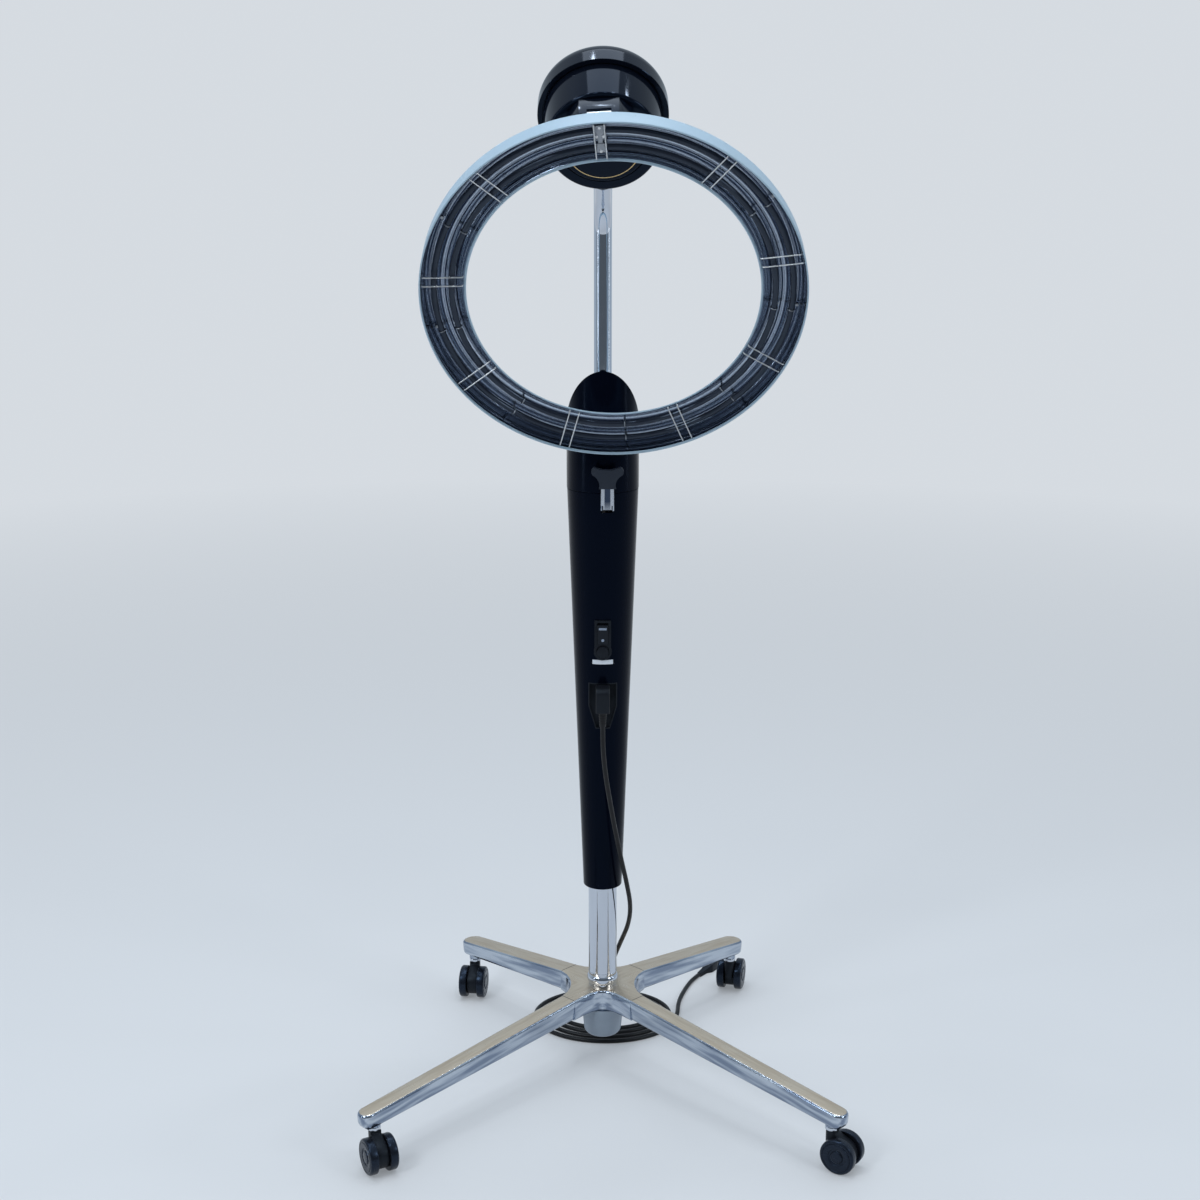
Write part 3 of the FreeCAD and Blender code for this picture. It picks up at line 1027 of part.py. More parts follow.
def tangent_arc(start, way, end):
    """Arc that leaves a point in a direction and comes to an end, and the direction it has there."""
    chord = end - start
    side = chord - way * chord.dot(way)
    radius = chord.Length ** 2 / (2 * side.Length)
    centre = start + V(side).normalize() * radius
    middle = centre + ((start - centre) + (end - centre)).normalize() * radius
    end_way = way - V(chord).normalize() * 2 * way.dot(V(chord).normalize())
    return Part.Arc(start, middle, end).toShape(), end_way * -1


def biarc(start, way, end, end_way):
    """Two arcs that leave one point and reach another with given directions."""
    v = end - start
    t = way + end_way
    fall = 2 * (1 - way.dot(end_way))
    reach = (-v.dot(t) + math.sqrt(v.dot(t) ** 2 + fall * v.dot(v))) / fall
    joint = (start + end + (way - end_way) * reach) * 0.5
    first, joint_way = tangent_arc(start, way, joint)
    return [first, tangent_arc(joint, joint_way, end)[0]]


def coil_point(angle):
    """Place and direction on the flat spiral at an angle in turns from its start at the left."""
    turn_angle = math.pi + 2 * math.pi * angle
    a = COIL_START[0] + COIL_STEP * angle
    b = COIL_START[1] + COIL_STEP * angle
    grow = COIL_STEP / (2 * math.pi)
    place = V(COIL_CENTRE[0] + a * math.cos(turn_angle), COIL_CENTRE[1] + b * math.sin(turn_angle), CORD_R)
    way = V(grow * math.cos(turn_angle) - a * math.sin(turn_angle),
            grow * math.sin(turn_angle) + b * math.cos(turn_angle), 0)
    return place, way.normalize()


def make_cord():
    """Hanging stretch, flat coil with its tail, and the mains plug on the floor."""
    lead = V(COIL_LEAD[0], COIL_LEAD[1], CORD_R)
    lead_way = (lead - V(*CORD_ROUTE[-1])).normalize()
    lead_tip = lead - lead_way * 2 * CORD_R
    route = CORD_ROUTE + (tuple(lead_tip),)
    first_way = (V(*route[1]) - V(*route[0])).normalize()
    save("power_cord", swept_tube(rounded_path(route), V(*route[0]), first_way, CORD_SIDES))

    there, there_way = coil_point(0.0)
    edges = [Part.LineSegment(lead_tip, lead).toShape()]
    edges += biarc(lead, lead_way, there, there_way)
    for step in range(1, int(COIL_TURNS * 4) + 1):
        here, here_way = there, there_way
        there, there_way = coil_point(step / 4)
        edges += biarc(here, here_way, there, there_way)
    tail = V(TAIL_END[0], TAIL_END[1], CORD_R)
    tail_way = V(TAIL_WAY[0], TAIL_WAY[1], 0).normalize()
    edges += biarc(there, there_way, tail, tail_way)
    tail_tip = tail + tail_way * 2 * CORD_R
    edges.append(Part.LineSegment(tail, tail_tip).toShape())
    coil = Part.Wire(edges)
    save("cord_coil", swept_tube(coil, lead_tip, lead_way, CORD_SIDES))
    print("least radius of the coil %.1f" % min(e.Curve.Radius for e in edges if hasattr(e.Curve, "Radius")))
    print("least gap between turns %.2f" % self_gap(coil))

    heading = math.degrees(math.atan2(tail_way.y, tail_way.x))
    plug = make_plug()
    save("mains_plug", placed(plug, turn(Z_AXIS, heading, x=tail_tip.x, y=tail_tip.y)))


def make_plug():
    """Two-blade mains plug lying on the floor, its neck at the origin and its blades towards +X."""
    neck = CORD_R
    plan = front_slab(0, PLUG_THICK, (0, -neck), (PLUG_NECK, -neck - 1.5), (PLUG_NECK + 9, -PLUG_HALF),
                      (PLUG_LENGTH, -PLUG_HALF), (PLUG_LENGTH, PLUG_HALF), (PLUG_NECK + 9, PLUG_HALF),
                      (PLUG_NECK, neck + 1.5), (0, neck))
    side = outline((0, 0), (PLUG_LENGTH, 0), (PLUG_LENGTH, PLUG_THICK), (PLUG_NECK + 8, PLUG_THICK),
                   (PLUG_NECK, 2 * neck + 1.5), (0, 2 * neck), plane=lambda x, z: V(x, -PLUG_HALF - 1, z))
    grip = plan.common(side.extrude(V(0, 2 * PLUG_HALF + 2, 0)))
    middle = PLUG_THICK / 2
    blades = []
    for side_way in (-1, 1):
        y = side_way * PIN_SPACING / 2
        blades.append(block((PLUG_LENGTH - 2, y - PIN_THICK / 2, middle - PIN_WIDTH / 2),
                            (PLUG_LENGTH + PIN_LENGTH, y + PIN_THICK / 2, middle + PIN_WIDTH / 2)))
    return grip.fuse(blades)


def self_gap(wire):
    """Least gap of the cord to itself, between points of its path that are over six diameters apart along it."""
    spacing = 4.0
    points = wire.discretize(Distance=spacing)
    apart = int(12 * CORD_R / spacing)
    least = 1e9
    for number, here in enumerate(points):
        for there in points[number + apart:]:
            least = min(least, here.distanceToPoint(there))
    return least - 2 * CORD_R


make_base()
for short, leg_name in (("fl", "front_left"), ("fr", "front_right"), ("rl", "rear_left"), ("rr", "rear_right")):
    make_caster(short, LEGS[leg_name])
make_column()
make_lever()
make_switch()
make_inlet()
make_pole()
make_head()
make_arm()
make_ring()
make_cord()
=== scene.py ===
import json
import math

import bpy
from mathutils import Matrix, Vector

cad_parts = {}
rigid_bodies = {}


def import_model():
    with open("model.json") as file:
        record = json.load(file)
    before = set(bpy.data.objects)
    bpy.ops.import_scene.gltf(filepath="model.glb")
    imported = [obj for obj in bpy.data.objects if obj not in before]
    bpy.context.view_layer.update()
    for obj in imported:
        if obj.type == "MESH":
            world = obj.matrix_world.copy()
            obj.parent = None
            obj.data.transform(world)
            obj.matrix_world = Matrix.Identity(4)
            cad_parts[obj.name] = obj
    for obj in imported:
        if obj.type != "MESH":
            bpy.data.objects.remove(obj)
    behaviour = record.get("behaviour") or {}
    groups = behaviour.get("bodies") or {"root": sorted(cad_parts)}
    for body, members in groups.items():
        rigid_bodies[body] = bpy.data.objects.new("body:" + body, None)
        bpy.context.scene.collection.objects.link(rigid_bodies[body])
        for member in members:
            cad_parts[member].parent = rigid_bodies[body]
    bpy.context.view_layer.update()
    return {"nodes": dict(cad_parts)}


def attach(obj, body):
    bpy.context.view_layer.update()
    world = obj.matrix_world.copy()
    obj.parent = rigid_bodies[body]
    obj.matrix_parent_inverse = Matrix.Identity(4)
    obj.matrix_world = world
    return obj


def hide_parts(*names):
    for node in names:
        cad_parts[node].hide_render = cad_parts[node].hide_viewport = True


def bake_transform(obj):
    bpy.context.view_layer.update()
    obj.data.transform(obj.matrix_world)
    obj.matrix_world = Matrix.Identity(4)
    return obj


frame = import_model()

# Sizes below are in millimetres and are turned to metres where a piece is made.
MM = 0.001

# Stand
HUB_SEAM = 75.0
HUB_WEBS = (51.0, 56.0, 51.0, 30.0)
HUB_WEB_BOWS = (0.85, 0.85, 0.85, 1.25)
HUB_FOOT = 84.0
LEG_TOP_ROOT = 118.0
LEG_DEPTH_ROOT = 33.0
LEG_DEPTH_TIP = 24.0
LEG_DRAFT = 3.0
LEG_EDGE = 4.0
NOSE_FACE = 16.0
LEGS = {
    "front_right": {"stem": (316.0, -326.0), "root": 30.0, "tip": 28.0, "top": 87.0, "nose": 10.5,
                    "trail": -32.0, "caster": "fr"},
    "rear_right": {"stem": (211.0, 214.0), "root": 36.0, "tip": 34.5, "top": 92.0, "nose": 4.5,
                   "trail": 75.0, "caster": "rr"},
    "rear_left": {"stem": (-211.0, 214.0), "root": 36.0, "tip": 34.5, "top": 92.0, "nose": 4.5,
                  "trail": -98.0, "caster": "rl"},
    "front_left": {"stem": (-316.0, -326.0), "root": 30.0, "tip": 28.0, "top": 87.0, "nose": 10.5,
                   "trail": -62.0, "caster": "fl"},
}
HUB_DRUM_R = 28.5
BALL_R = 10.2
BALL_CENTRE = (13.8, 129.2)
BOSS_FOOT = 61.0
BOSS_R = 9.6
BOSS_TOP = 78.0
STEM_R = 5.5
CASTER_TOP = 55.7
CASTER_HALF = 8.0
WHEEL_R = 25.5
WHEEL_INNER = 8.5
WHEEL_OUTER = 21.0
CASTER_TRAIL = 16.7
CUP_R = 31.5
CUP_FOOT = 37.0

# Column
TUBE_R = 21.5
TUBE_FOOT = 92.0
TUBE_TOP = 478.0
COVER_FOOT = 283.0
COVER_TOP = 894.0
COVER_FOOT_R = 29.0
COVER_TOP_R = 52.0
COVER_WALL = 2.5
CAP_FRONT_TOP = 1067.0
CAP_BACK_TOP = 903.0
POLE_R = 12.5
POLE_Y = -30.0
POLE_FOOT = 905.0
POLE_BEND_START = 1250.5
POLE_BEND_R = 62.5
POLE_LEAN = 62.0
POLE_END_RUN = 79.0
LEVER_X = 6.5
NOTCH_HALF = 9.5
NOTCH_FOOT = 866.0
SWITCH_FOOT = 649.0
SWITCH_TOP = 705.0
SWITCH_HALF = 8.6
RESET_Z = 660.0
RESET_R = 11.1
STRIP_Z = 643.7
INLET_TOP = 611.0
INLET_WAIST = 575.0
INLET_FOOT = 541.0
INLET_HALF = 21.0
INLET_FOOT_HALF = 10.5
CORD_Y = -66.0
CORD_EXIT = 553.0
ROCKER_Z = 687.0
ROCKER_PIVOT_IN = 4.0
ROCKER_SWING = 14.0
ROCKER_HALF = 15.0
ROCKER_HOLLOW = 2.0

# Head and ring
HEAD_PLACE = (0.0, -235.0, 1376.4)
HEAD_TURN = 125.0
ORBIT_REST = 4.5
DRUM_LENGTH = 60.0
DOME_R = 84.0
DOME_MOUTH_R = 77.5
DOME_CORNER = 38.0
DISC_R = 56.5
DISC_STEP_R = 48.0
RING_DROP = -171.5
RING_OUT = 99.3
RING_TURN = -7.0
RING_R = 251.5
RING_INNER_R = 191.0
RING_INNER_SET = 14.0
RING_DEPTH = 34.0
RING_CORNER = 10.0
RING_SLOPE_R = 205.0
RING_WALL = 2.0
PAN_INNER_R = 194.6
PAN_OUTER_R = 248.6
HEATER_CIRCLES = (210.0, 233.0)
HEATER_R = 4.0
HEATER_SET = 16.0
HEATER_GAP = 7.2
CLIP_ANGLES = (30.0, -10.0, -50.0, -90.0, -130.0, 190.0, 150.0)
WIRE_ANGLES = (90.0, 50.0, 10.0, -30.0, -70.0, -110.0, -150.0, 170.0, 130.0)
WIRE_PAIR = 13.0
WIRE_R = 0.85

# Cord
CORD_R = 3.5
CORD_ROUTE = (
    (0.0, CORD_Y, CORD_EXIT),
    (0.0, CORD_Y, 520.0),
    (4.0, -64.0, 478.0),
    (11.0, -58.0, 432.0),
    (19.0, -51.0, 384.0),
    (28.0, -41.0, 336.0),
    (37.0, -26.0, 290.0),
    (43.0, -4.0, 246.0),
    (40.0, 20.0, 206.0),
    (29.0, 44.0, 168.0),
    (18.0, 66.0, 130.0),
    (10.0, 88.0, 90.0),
    (8.0, 102.0, 56.0),
    (7.0, 110.0, 28.0),
    (4.0, 124.0, 12.0),
    (-10.0, 138.0, CORD_R),
)
COIL_LEAD = ((-30.0, 150.0), (-49.0, 155.0), (-66.0, 146.0))
COIL_CENTRE = (4.0, 124.0)
COIL_START = (80.0, 57.0)
COIL_STEP = 10.0
COIL_TURNS = 3.5
COIL_FAN = 5.0
COIL_FAN_SIDE = -110.0
CORD_TAIL = ((124.5, 165.0), (136.0, 208.0), (149.0, 243.0), (160.0, 262.0))
TAIL_WAY = (0.57, 0.82)

# Setting, in metres
FLOOR_R = 7.0
FLOOR_FADE = (0.9, 5.0, 0.3, 1.0)
STUDIO_BEHIND = (-0.75, 0.45, 0.15, 0.62)
STUDIO_ABOVE = (0.35, 0.95, 0.0, 0.25)
CAMERA_PLACE = (-0.004, -2.637, 1.386)
CAMERA_TILT = 14.05
CAMERA_LENS = 55.74
LAMP_COLOR = (0.84, 0.92, 1.0)
LAMPS = (
    ("key", (-2.2, -2.4, 3.0), (1.0, 1.0), 44, 0.8),
    ("fill", (2.6, -1.8, 2.0), (0.8, 0.8), 18, 0.9),
    ("top", (0.0, 0.4, 3.6), (1.6, 1.6), 20, 0.8),
    ("left_strip", (-2.4, -1.1, 1.4), (0.10, 2.0), 5.0, 1.2),
    ("right_strip", (2.4, -0.2, 1.4), (0.06, 1.8), 2.5, 1.2),
)
CEILING_SPOTS = (
    (-1.5, 0.2), (-0.8, -0.5), (-0.35, 0.5), (0.45, -0.2), (1.15, 0.3), (-0.5, -1.6), (0.6, -1.5),
    (0.1, -0.9),
)
CEILING_HEIGHT = 3.3
SPOT_SIZE = 0.16
SPOT_POWER = 3.0
SPOT_AIM = 1.2

HEAD = Matrix.Translation(Vector(HEAD_PLACE) * MM) @ Matrix.Rotation(math.radians(HEAD_TURN), 4, "X")
ORBIT = HEAD @ Matrix.Rotation(math.radians(ORBIT_REST), 4, "Z")
RING = (ORBIT @ Matrix.Translation(Vector((0, RING_DROP, RING_OUT)) * MM)
        @ Matrix.Rotation(math.radians(RING_TURN), 4, "X"))


# Modelling

def pick(*pieces):
    """Select only these pieces, the last one active."""
    bpy.ops.object.select_all(action="DESELECT")
    for piece in pieces:
        piece.select_set(True)
        bpy.context.view_layer.objects.active = piece


def arc(a, b, r, start, end, steps):
    """Points on an arc about (a, b), angles in degrees."""
    return [(a + r * math.cos(math.radians(start + (end - start) * k / steps)),
             b + r * math.sin(math.radians(start + (end - start) * k / steps))) for k in range(steps + 1)]


def strand(name, points):
    """Line of vertices drawn point by point, in metres; it is left in edit mode, all selected."""
    bpy.ops.object.select_all(action="DESELECT")
    bpy.ops.mesh.primitive_plane_add(size=MM)
    piece = bpy.context.object
    piece.name = name
    bpy.ops.object.mode_set(mode="EDIT")
    bpy.ops.mesh.select_mode(type="VERT")
    bpy.ops.mesh.merge(type="CENTER")
    here = Vector(points[0])
    bpy.ops.transform.translate(value=here)
    for point in points[1:]:
        bpy.ops.mesh.extrude_vertices_move(TRANSFORM_OT_translate={"value": Vector(point) - here})
        here = Vector(point)
    bpy.ops.mesh.select_all(action="SELECT")
    return piece


def smoothed(piece, angle=32):
    pick(piece)
    bpy.ops.object.shade_smooth_by_angle(angle=math.radians(angle))
    return piece


def settled(piece, place=None):
    """Put a piece in its place and leave its object at the origin, unturned."""
    if place is not None:
        piece.matrix_world = place @ piece.matrix_world
    pick(piece)
    bpy.ops.object.transform_apply(location=True, rotation=True, scale=True)
    return piece


def spun(name, profile, place=None, steps=96, angle=32):
    """Piece turned about Z from a profile of (radius, height)."""
    piece = strand(name, [(r * MM, 0, z * MM) for r, z in profile])
    bpy.ops.mesh.spin(steps=steps, angle=2 * math.pi, center=(0, 0, 0), axis=(0, 0, 1))
    bpy.ops.mesh.select_all(action="SELECT")
    bpy.ops.mesh.remove_doubles(threshold=0.01 * MM)
    bpy.ops.mesh.normals_make_consistent(inside=False)
    bpy.ops.object.mode_set(mode="OBJECT")
    return smoothed(settled(piece, place), angle)


def slab(name, points, low, high, plane="xz", place=None):
    """Outline filled and given a thickness from low to high."""
    lay = {"xz": lambda a, b: (a, low, b),
           "yz": lambda a, b: (low, a, b),
           "xy": lambda a, b: (a, b, low)}[plane]
    way = {"xz": (0, 1, 0), "yz": (1, 0, 0), "xy": (0, 0, 1)}[plane]
    piece = strand(name, [Vector(lay(a, b)) * MM for a, b in points])
    bpy.ops.mesh.edge_face_add()
    bpy.ops.mesh.extrude_region_move(TRANSFORM_OT_translate={"value": Vector(way) * (high - low) * MM})
    bpy.ops.mesh.select_all(action="SELECT")
    bpy.ops.mesh.normals_make_consistent(inside=False)
    bpy.ops.object.mode_set(mode="OBJECT")
    return settled(piece, place)


def use(piece, kind, **settings):
    """Add a modifier and apply it."""
    modifier = piece.modifiers.new(kind.lower(), kind)
    for name, value in settings.items():
        setattr(modifier, name, value)
    pick(piece)
    bpy.ops.object.modifier_apply(modifier=modifier.name)
    return piece


def rounded(piece, width, segments=3, angle=30, clamp=True):
    use(piece, "BEVEL", width=width * MM, segments=segments, limit_method="ANGLE",
        angle_limit=math.radians(angle), harden_normals=False, use_clamp_overlap=clamp)
    return smoothed(piece)


def unpicked(piece, kind):
    """Leave nothing of a piece selected, ready to choose its points or faces."""
    pick(piece)
    bpy.ops.object.mode_set(mode="EDIT")
    bpy.ops.mesh.select_mode(type=kind)
    bpy.ops.mesh.select_all(action="DESELECT")
    bpy.ops.object.mode_set(mode="OBJECT")


def crisp_ends(piece, ends, width, segments, angle):
    """Ease the edges of a piece but not those round its ends, given as (place, way) in millimetres."""
    unpicked(piece, "FACE")
    for face in piece.data.polygons:
        face.select = any(face.normal.dot(Vector(way)) > 0.99
                          and abs((face.center - Vector(place) * MM).dot(Vector(way))) < 0.2 * MM
                          for place, way in ends)
    bpy.ops.object.mode_set(mode="EDIT")
    bpy.ops.mesh.delete(type="ONLY_FACE")
    bpy.ops.object.mode_set(mode="OBJECT")
    rounded(piece, width, segments, angle, False)
    bpy.ops.object.mode_set(mode="EDIT")
    bpy.ops.mesh.select_mode(type="VERT")
    bpy.ops.mesh.select_all(action="SELECT")
    bpy.ops.mesh.fill_holes(sides=0)
    bpy.ops.mesh.normals_make_consistent(inside=False)
    bpy.ops.object.mode_set(mode="OBJECT")
    return smoothed(piece)


def cut(piece, *tools):
    """Take the tools' shapes out of a piece."""
    for tool in tools:
        use(piece, "BOOLEAN", operation="DIFFERENCE", object=tool, solver="EXACT")
        bpy.data.objects.remove(tool)
    return piece


def joined(name, *pieces):
    pick(*pieces)
    bpy.ops.object.join()
    piece = bpy.context.object
    piece.name = name
    return piece


def added(name, data):
    """New object with this data, in the scene."""
    thing = bpy.data.objects.new(name, data)
    bpy.context.collection.objects.link(thing)
    return thing


def line_along(name, points, rounding=0):
    """Curve along points in millimetres, its corners rounded where asked."""
    curve = bpy.data.curves.new(name, "CURVE")
    curve.dimensions = "3D"
    spline = curve.splines.new("NURBS" if rounding else "POLY")
    spline.points.add(len(points) - 1)
    for point, where in zip(spline.points, points):
        point.co = (*(Vector(where) * MM), 1)
    if rounding:
        spline.order_u = 3
        spline.use_endpoint_u = True
        spline.resolution_u = rounding
    return added(name, curve)


def thickened(line, radius, sides, place, angle=50):
    """Round piece of this radius along a curve, with closed ends."""
    line.data.bevel_depth = radius * MM
    line.data.bevel_resolution = (sides - 4) // 2
    line.data.use_fill_caps = True
    pick(line)
    bpy.ops.object.convert(target="MESH")
    return smoothed(settled(bpy.context.object, place), angle)


def rod(name, points, radius, place, sides, rounding=0):
    """Round rod along points in millimetres."""
    return thickened(line_along(name, points, rounding), radius, sides, place)


def dressed(node, name, width, segments=2, angle=30):
    """Copy of a solid's mesh, merged, with its edges eased."""
    pick(frame["nodes"][node])
    bpy.ops.object.duplicate()
    piece = bpy.context.object
    bpy.ops.object.parent_clear(type="CLEAR_KEEP_TRANSFORM")
    piece.name = name
    bpy.ops.object.mode_set(mode="EDIT")
    bpy.ops.mesh.select_all(action="SELECT")
    bpy.ops.mesh.remove_doubles(threshold=0.002 * MM)
    bpy.ops.mesh.dissolve_limited(angle_limit=math.radians(0.5))
    bpy.ops.object.mode_set(mode="OBJECT")
    settled(piece)
    return rounded(piece, width, segments, angle)


# Finishes

BACKDROP = (0.67, 0.71, 0.755)


class Value:
    """A socket of a finish, with the arithmetic that adds its nodes."""

    def __init__(self, finish, socket):
        self.finish = finish
        self.socket = socket

    def __add__(self, other):
        return self.finish.math("ADD", self, other)

    __radd__ = __add__

    def __sub__(self, other):
        return self.finish.math("SUBTRACT", self, other)

    def __rsub__(self, other):
        return self.finish.math("SUBTRACT", other, self)

    def __mul__(self, other):
        return self.finish.math("MULTIPLY", self, other)

    __rmul__ = __mul__


class Finish:
    """A material: constants on its shader's sockets, and nodes for what varies over the surface."""

    def __init__(self, name, color, roughness, **constants):
        self.material = bpy.data.materials.new(name)
        self.material.use_nodes = True
        self.tree = self.material.node_tree
        self.shader = self.tree.nodes["Principled BSDF"]
        self.shader.inputs["Base Color"].default_value = (*color, 1)
        self.shader.inputs["Roughness"].default_value = roughness
        for socket, value in constants.items():
            self.shader.inputs[socket.replace("_", " ").title().replace("Ior", "IOR")].default_value = value
        self.place = self.node("ShaderNodeTexCoord", output="Object")

    def node(self, kind, settings=None, inputs=None, output=0):
        node = self.tree.nodes.new(kind)
        for name, value in (settings or {}).items():
            setattr(node, name, value)
        for name, value in (inputs or {}).items():
            self.link(node.inputs[name], value)
        return Value(self, node.outputs[output])

    def link(self, socket, value):
        if isinstance(value, Value):
            self.tree.links.new(value.socket, socket)
        else:
            socket.default_value = value

    def math(self, operation, first, second):
        return self.node("ShaderNodeMath", {"operation": operation}, {0: first, 1: second})

    def feed(self, socket, value):
        self.link(self.shader.inputs[socket], value)

    def noise(self, scale, detail=3.0, rough=0.5, where=None):
        return self.node("ShaderNodeTexNoise", None, {"Vector": where or self.place, "Scale": scale,
                                                      "Detail": detail, "Roughness": rough})

    def ramp(self, value, low, high, dark=0.0, light=1.0):
        """Value from dark to light as the input goes from low to high."""
        return self.node("ShaderNodeMapRange", {"clamp": True}, {
            "Value": value, "From Min": low, "From Max": high, "To Min": dark, "To Max": light})

    def blend(self, mask, first, second):
        """Colour between two colours by a mask."""
        node = self.tree.nodes.new("ShaderNodeMix")
        node.data_type = "RGBA"
        self.link(node.inputs["Factor"], mask)
        for socket, color in ((node.inputs[6], first), (node.inputs[7], second)):
            self.link(socket, color if isinstance(color, Value) else (*color, 1))
        return Value(self, node.outputs[2])

    def bump(self, height, strength, distance):
        self.feed("Normal", self.node("ShaderNodeBump", None, {"Height": height, "Strength": strength,
                                                               "Distance": distance}))

    def local(self, place):
        """Coordinates in a turned frame of the piece, in metres."""
        return self.node("ShaderNodeMapping", {"vector_type": "TEXTURE"},
                         {"Vector": self.place, "Location": tuple(place.to_translation()),
                          "Rotation": tuple(place.to_euler())})

    def split(self, vector):
        node = self.tree.nodes.new("ShaderNodeSeparateXYZ")
        self.link(node.inputs[0], vector)
        return [Value(self, socket) for socket in node.outputs]

    def length(self, x, y):
        flat = self.node("ShaderNodeCombineXYZ", None, {"X": x, "Y": y})
        return self.node("ShaderNodeVectorMath", {"operation": "LENGTH"}, {0: flat}, output="Value")


def polished_casting():
    """Hand-polished aluminium: cool sides banded with painted reflection, tops painted a warm mottled tan as
    painted reflection and rubbed to a rougher satin, all polished along the legs.
    """
    finish = Finish("polished_casting", (0.80, 0.78, 0.75), 0.16, metallic=1.0)
    normal = finish.node("ShaderNodeNewGeometry", output="Normal")
    facing_up = finish.ramp(finish.split(normal)[2], 0.80, 0.97)
    x, y, z = finish.split(finish.place)
    out_x, out_y = finish.math("ABSOLUTE", x, 0.0), finish.math("ABSOLUTE", y, 0.0)
    lengthwise = finish.node("ShaderNodeCombineXYZ", None, {"X": out_x - out_y, "Y": (out_x + out_y) * 0.07,
                                                            "Z": z + (out_x + out_y) * 0.068})
    haze = finish.noise(38.0, 5.0, 0.6)
    # This mask makes the tops rougher in patches from wear, and it also mottles the tops' painted-reflection
    # tan.
    wear_and_painted_reflection = finish.ramp(finish.noise(170.0, 4.0, 0.6, lengthwise), 0.36, 0.66)
    polish = finish.ramp(haze, 0.3, 0.75, 0.10, 0.2)
    finish.feed("Roughness", polish + facing_up * (wear_and_painted_reflection * 0.08 + 0.14))
    # Painted reflection: the tops get a warm tan that stands in for a warm wall mirrored in the metal.
    top = finish.blend(wear_and_painted_reflection, (0.70, 0.59, 0.46), (0.58, 0.47, 0.35))
    # Painted reflection: the sides go between light and dark blue-grey in bands along the legs, standing in
    # for the room mirrored in them.
    painted_reflection_bands = finish.ramp(finish.noise(110.0, 2.0, 0.5, lengthwise), 0.38, 0.62)
    side = finish.blend(painted_reflection_bands, (0.52, 0.58, 0.66), (0.22, 0.27, 0.36))
    finish.feed("Base Color", finish.blend(facing_up, side, top))
    finish.bump(finish.noise(22.0, 2.0) + finish.noise(160.0, 2.0) * facing_up * 0.15, 0.10, 0.002)
    return finish.material


def chrome():
    finish = Finish("chrome_plate", (0.57, 0.61, 0.68), 0.05, metallic=1.0)
    finish.feed("Roughness", finish.ramp(finish.noise(60.0, 4.0), 0.35, 0.8, 0.035, 0.11))
    finish.bump(finish.noise(14.0, 1.0), 0.03, 0.001)
    return finish.material


def satin_steel(name="satin_steel", color=(0.62, 0.63, 0.64)):
    finish = Finish(name, color, 0.3, metallic=1.0)
    finish.feed("Roughness", finish.ramp(finish.noise(140.0, 4.0), 0.3, 0.8, 0.22, 0.4))
    return finish.material


def shaded_sheet():
    """Steel of the lever's channel, with painted shade darkening the hollow between its two flanges."""
    steel = (0.44, 0.47, 0.52)
    finish = Finish("lever_sheet_steel", steel, 0.25, metallic=1.0)
    across, _, up = finish.split(finish.place)
    off_middle = finish.math("ABSOLUTE", across - LEVER_X * MM, 0.0)
    # Painted shade: the web between the flanges is coloured near black where it lies in shade.
    hollow = finish.ramp(off_middle, 3.6 * MM, 4.6 * MM, 1.0, 0.0)
    hollow = hollow * finish.ramp(up, NOTCH_FOOT * MM, (NOTCH_FOOT + 18) * MM)
    finish.feed("Base Color", finish.blend(hollow, steel, (0.04, 0.055, 0.09)))
    finish.feed("Roughness", finish.ramp(finish.noise(140.0, 4.0), 0.3, 0.8, 0.2, 0.36))
    return finish.material


def gloss_black(name="gloss_black", color=(0.003, 0.0045, 0.009), low=0.06, high=0.14, shine=0.17):
    """Black moulding with faint wipe marks and dust."""
    finish = Finish(name, color, low, specular_ior_level=shine, specular_tint=(0.42, 0.63, 1.0, 1.0))
    smears = finish.noise(26.0, 5.0, 0.65)
    finish.feed("Roughness", finish.ramp(smears, 0.35, 0.75, low, high))
    dust = finish.ramp(finish.noise(900.0, 2.0, 0.4), 0.68, 0.8, 0.0, 0.25)
    finish.feed("Base Color", finish.blend(dust, color, (0.018, 0.019, 0.024)))
    finish.bump(finish.noise(8.0, 1.0), 0.02, 0.002)
    return finish.material


def grained_black(name="grained_black", color=(0.006, 0.0065, 0.009), roughness=0.42):
    finish = Finish(name, color, roughness, specular_ior_level=0.28, specular_tint=(0.7, 0.84, 1.0, 1.0))
    grain = finish.node("ShaderNodeTexVoronoi", None, {"Vector": finish.place, "Scale": 900.0},
                        output="Distance")
    finish.feed("Roughness", finish.ramp(grain, 0.0, 0.8, roughness - 0.08, roughness + 0.1))
    finish.bump(grain, 0.25, 0.0002)
    return finish.material


def grey_moulding():
    finish = Finish("grey_moulding", (0.30, 0.35, 0.41), 0.38)
    finish.feed("Base Color", finish.blend(finish.noise(35.0, 3.0), (0.27, 0.32, 0.38), (0.34, 0.39, 0.45)))
    finish.feed("Roughness", finish.ramp(finish.noise(60.0, 4.0), 0.3, 0.8, 0.3, 0.5))
    return finish.material


def pale_shell():
    finish = Finish("pale_shell", (0.35, 0.46, 0.55), 0.34, specular_ior_level=0.35)
    finish.feed("Roughness", finish.ramp(finish.noise(30.0, 4.0), 0.3, 0.8, 0.26, 0.46))
    finish.feed("Base Color", finish.blend(finish.noise(5.0, 2.0), (0.33, 0.44, 0.53), (0.38, 0.49, 0.57)))
    return finish.material


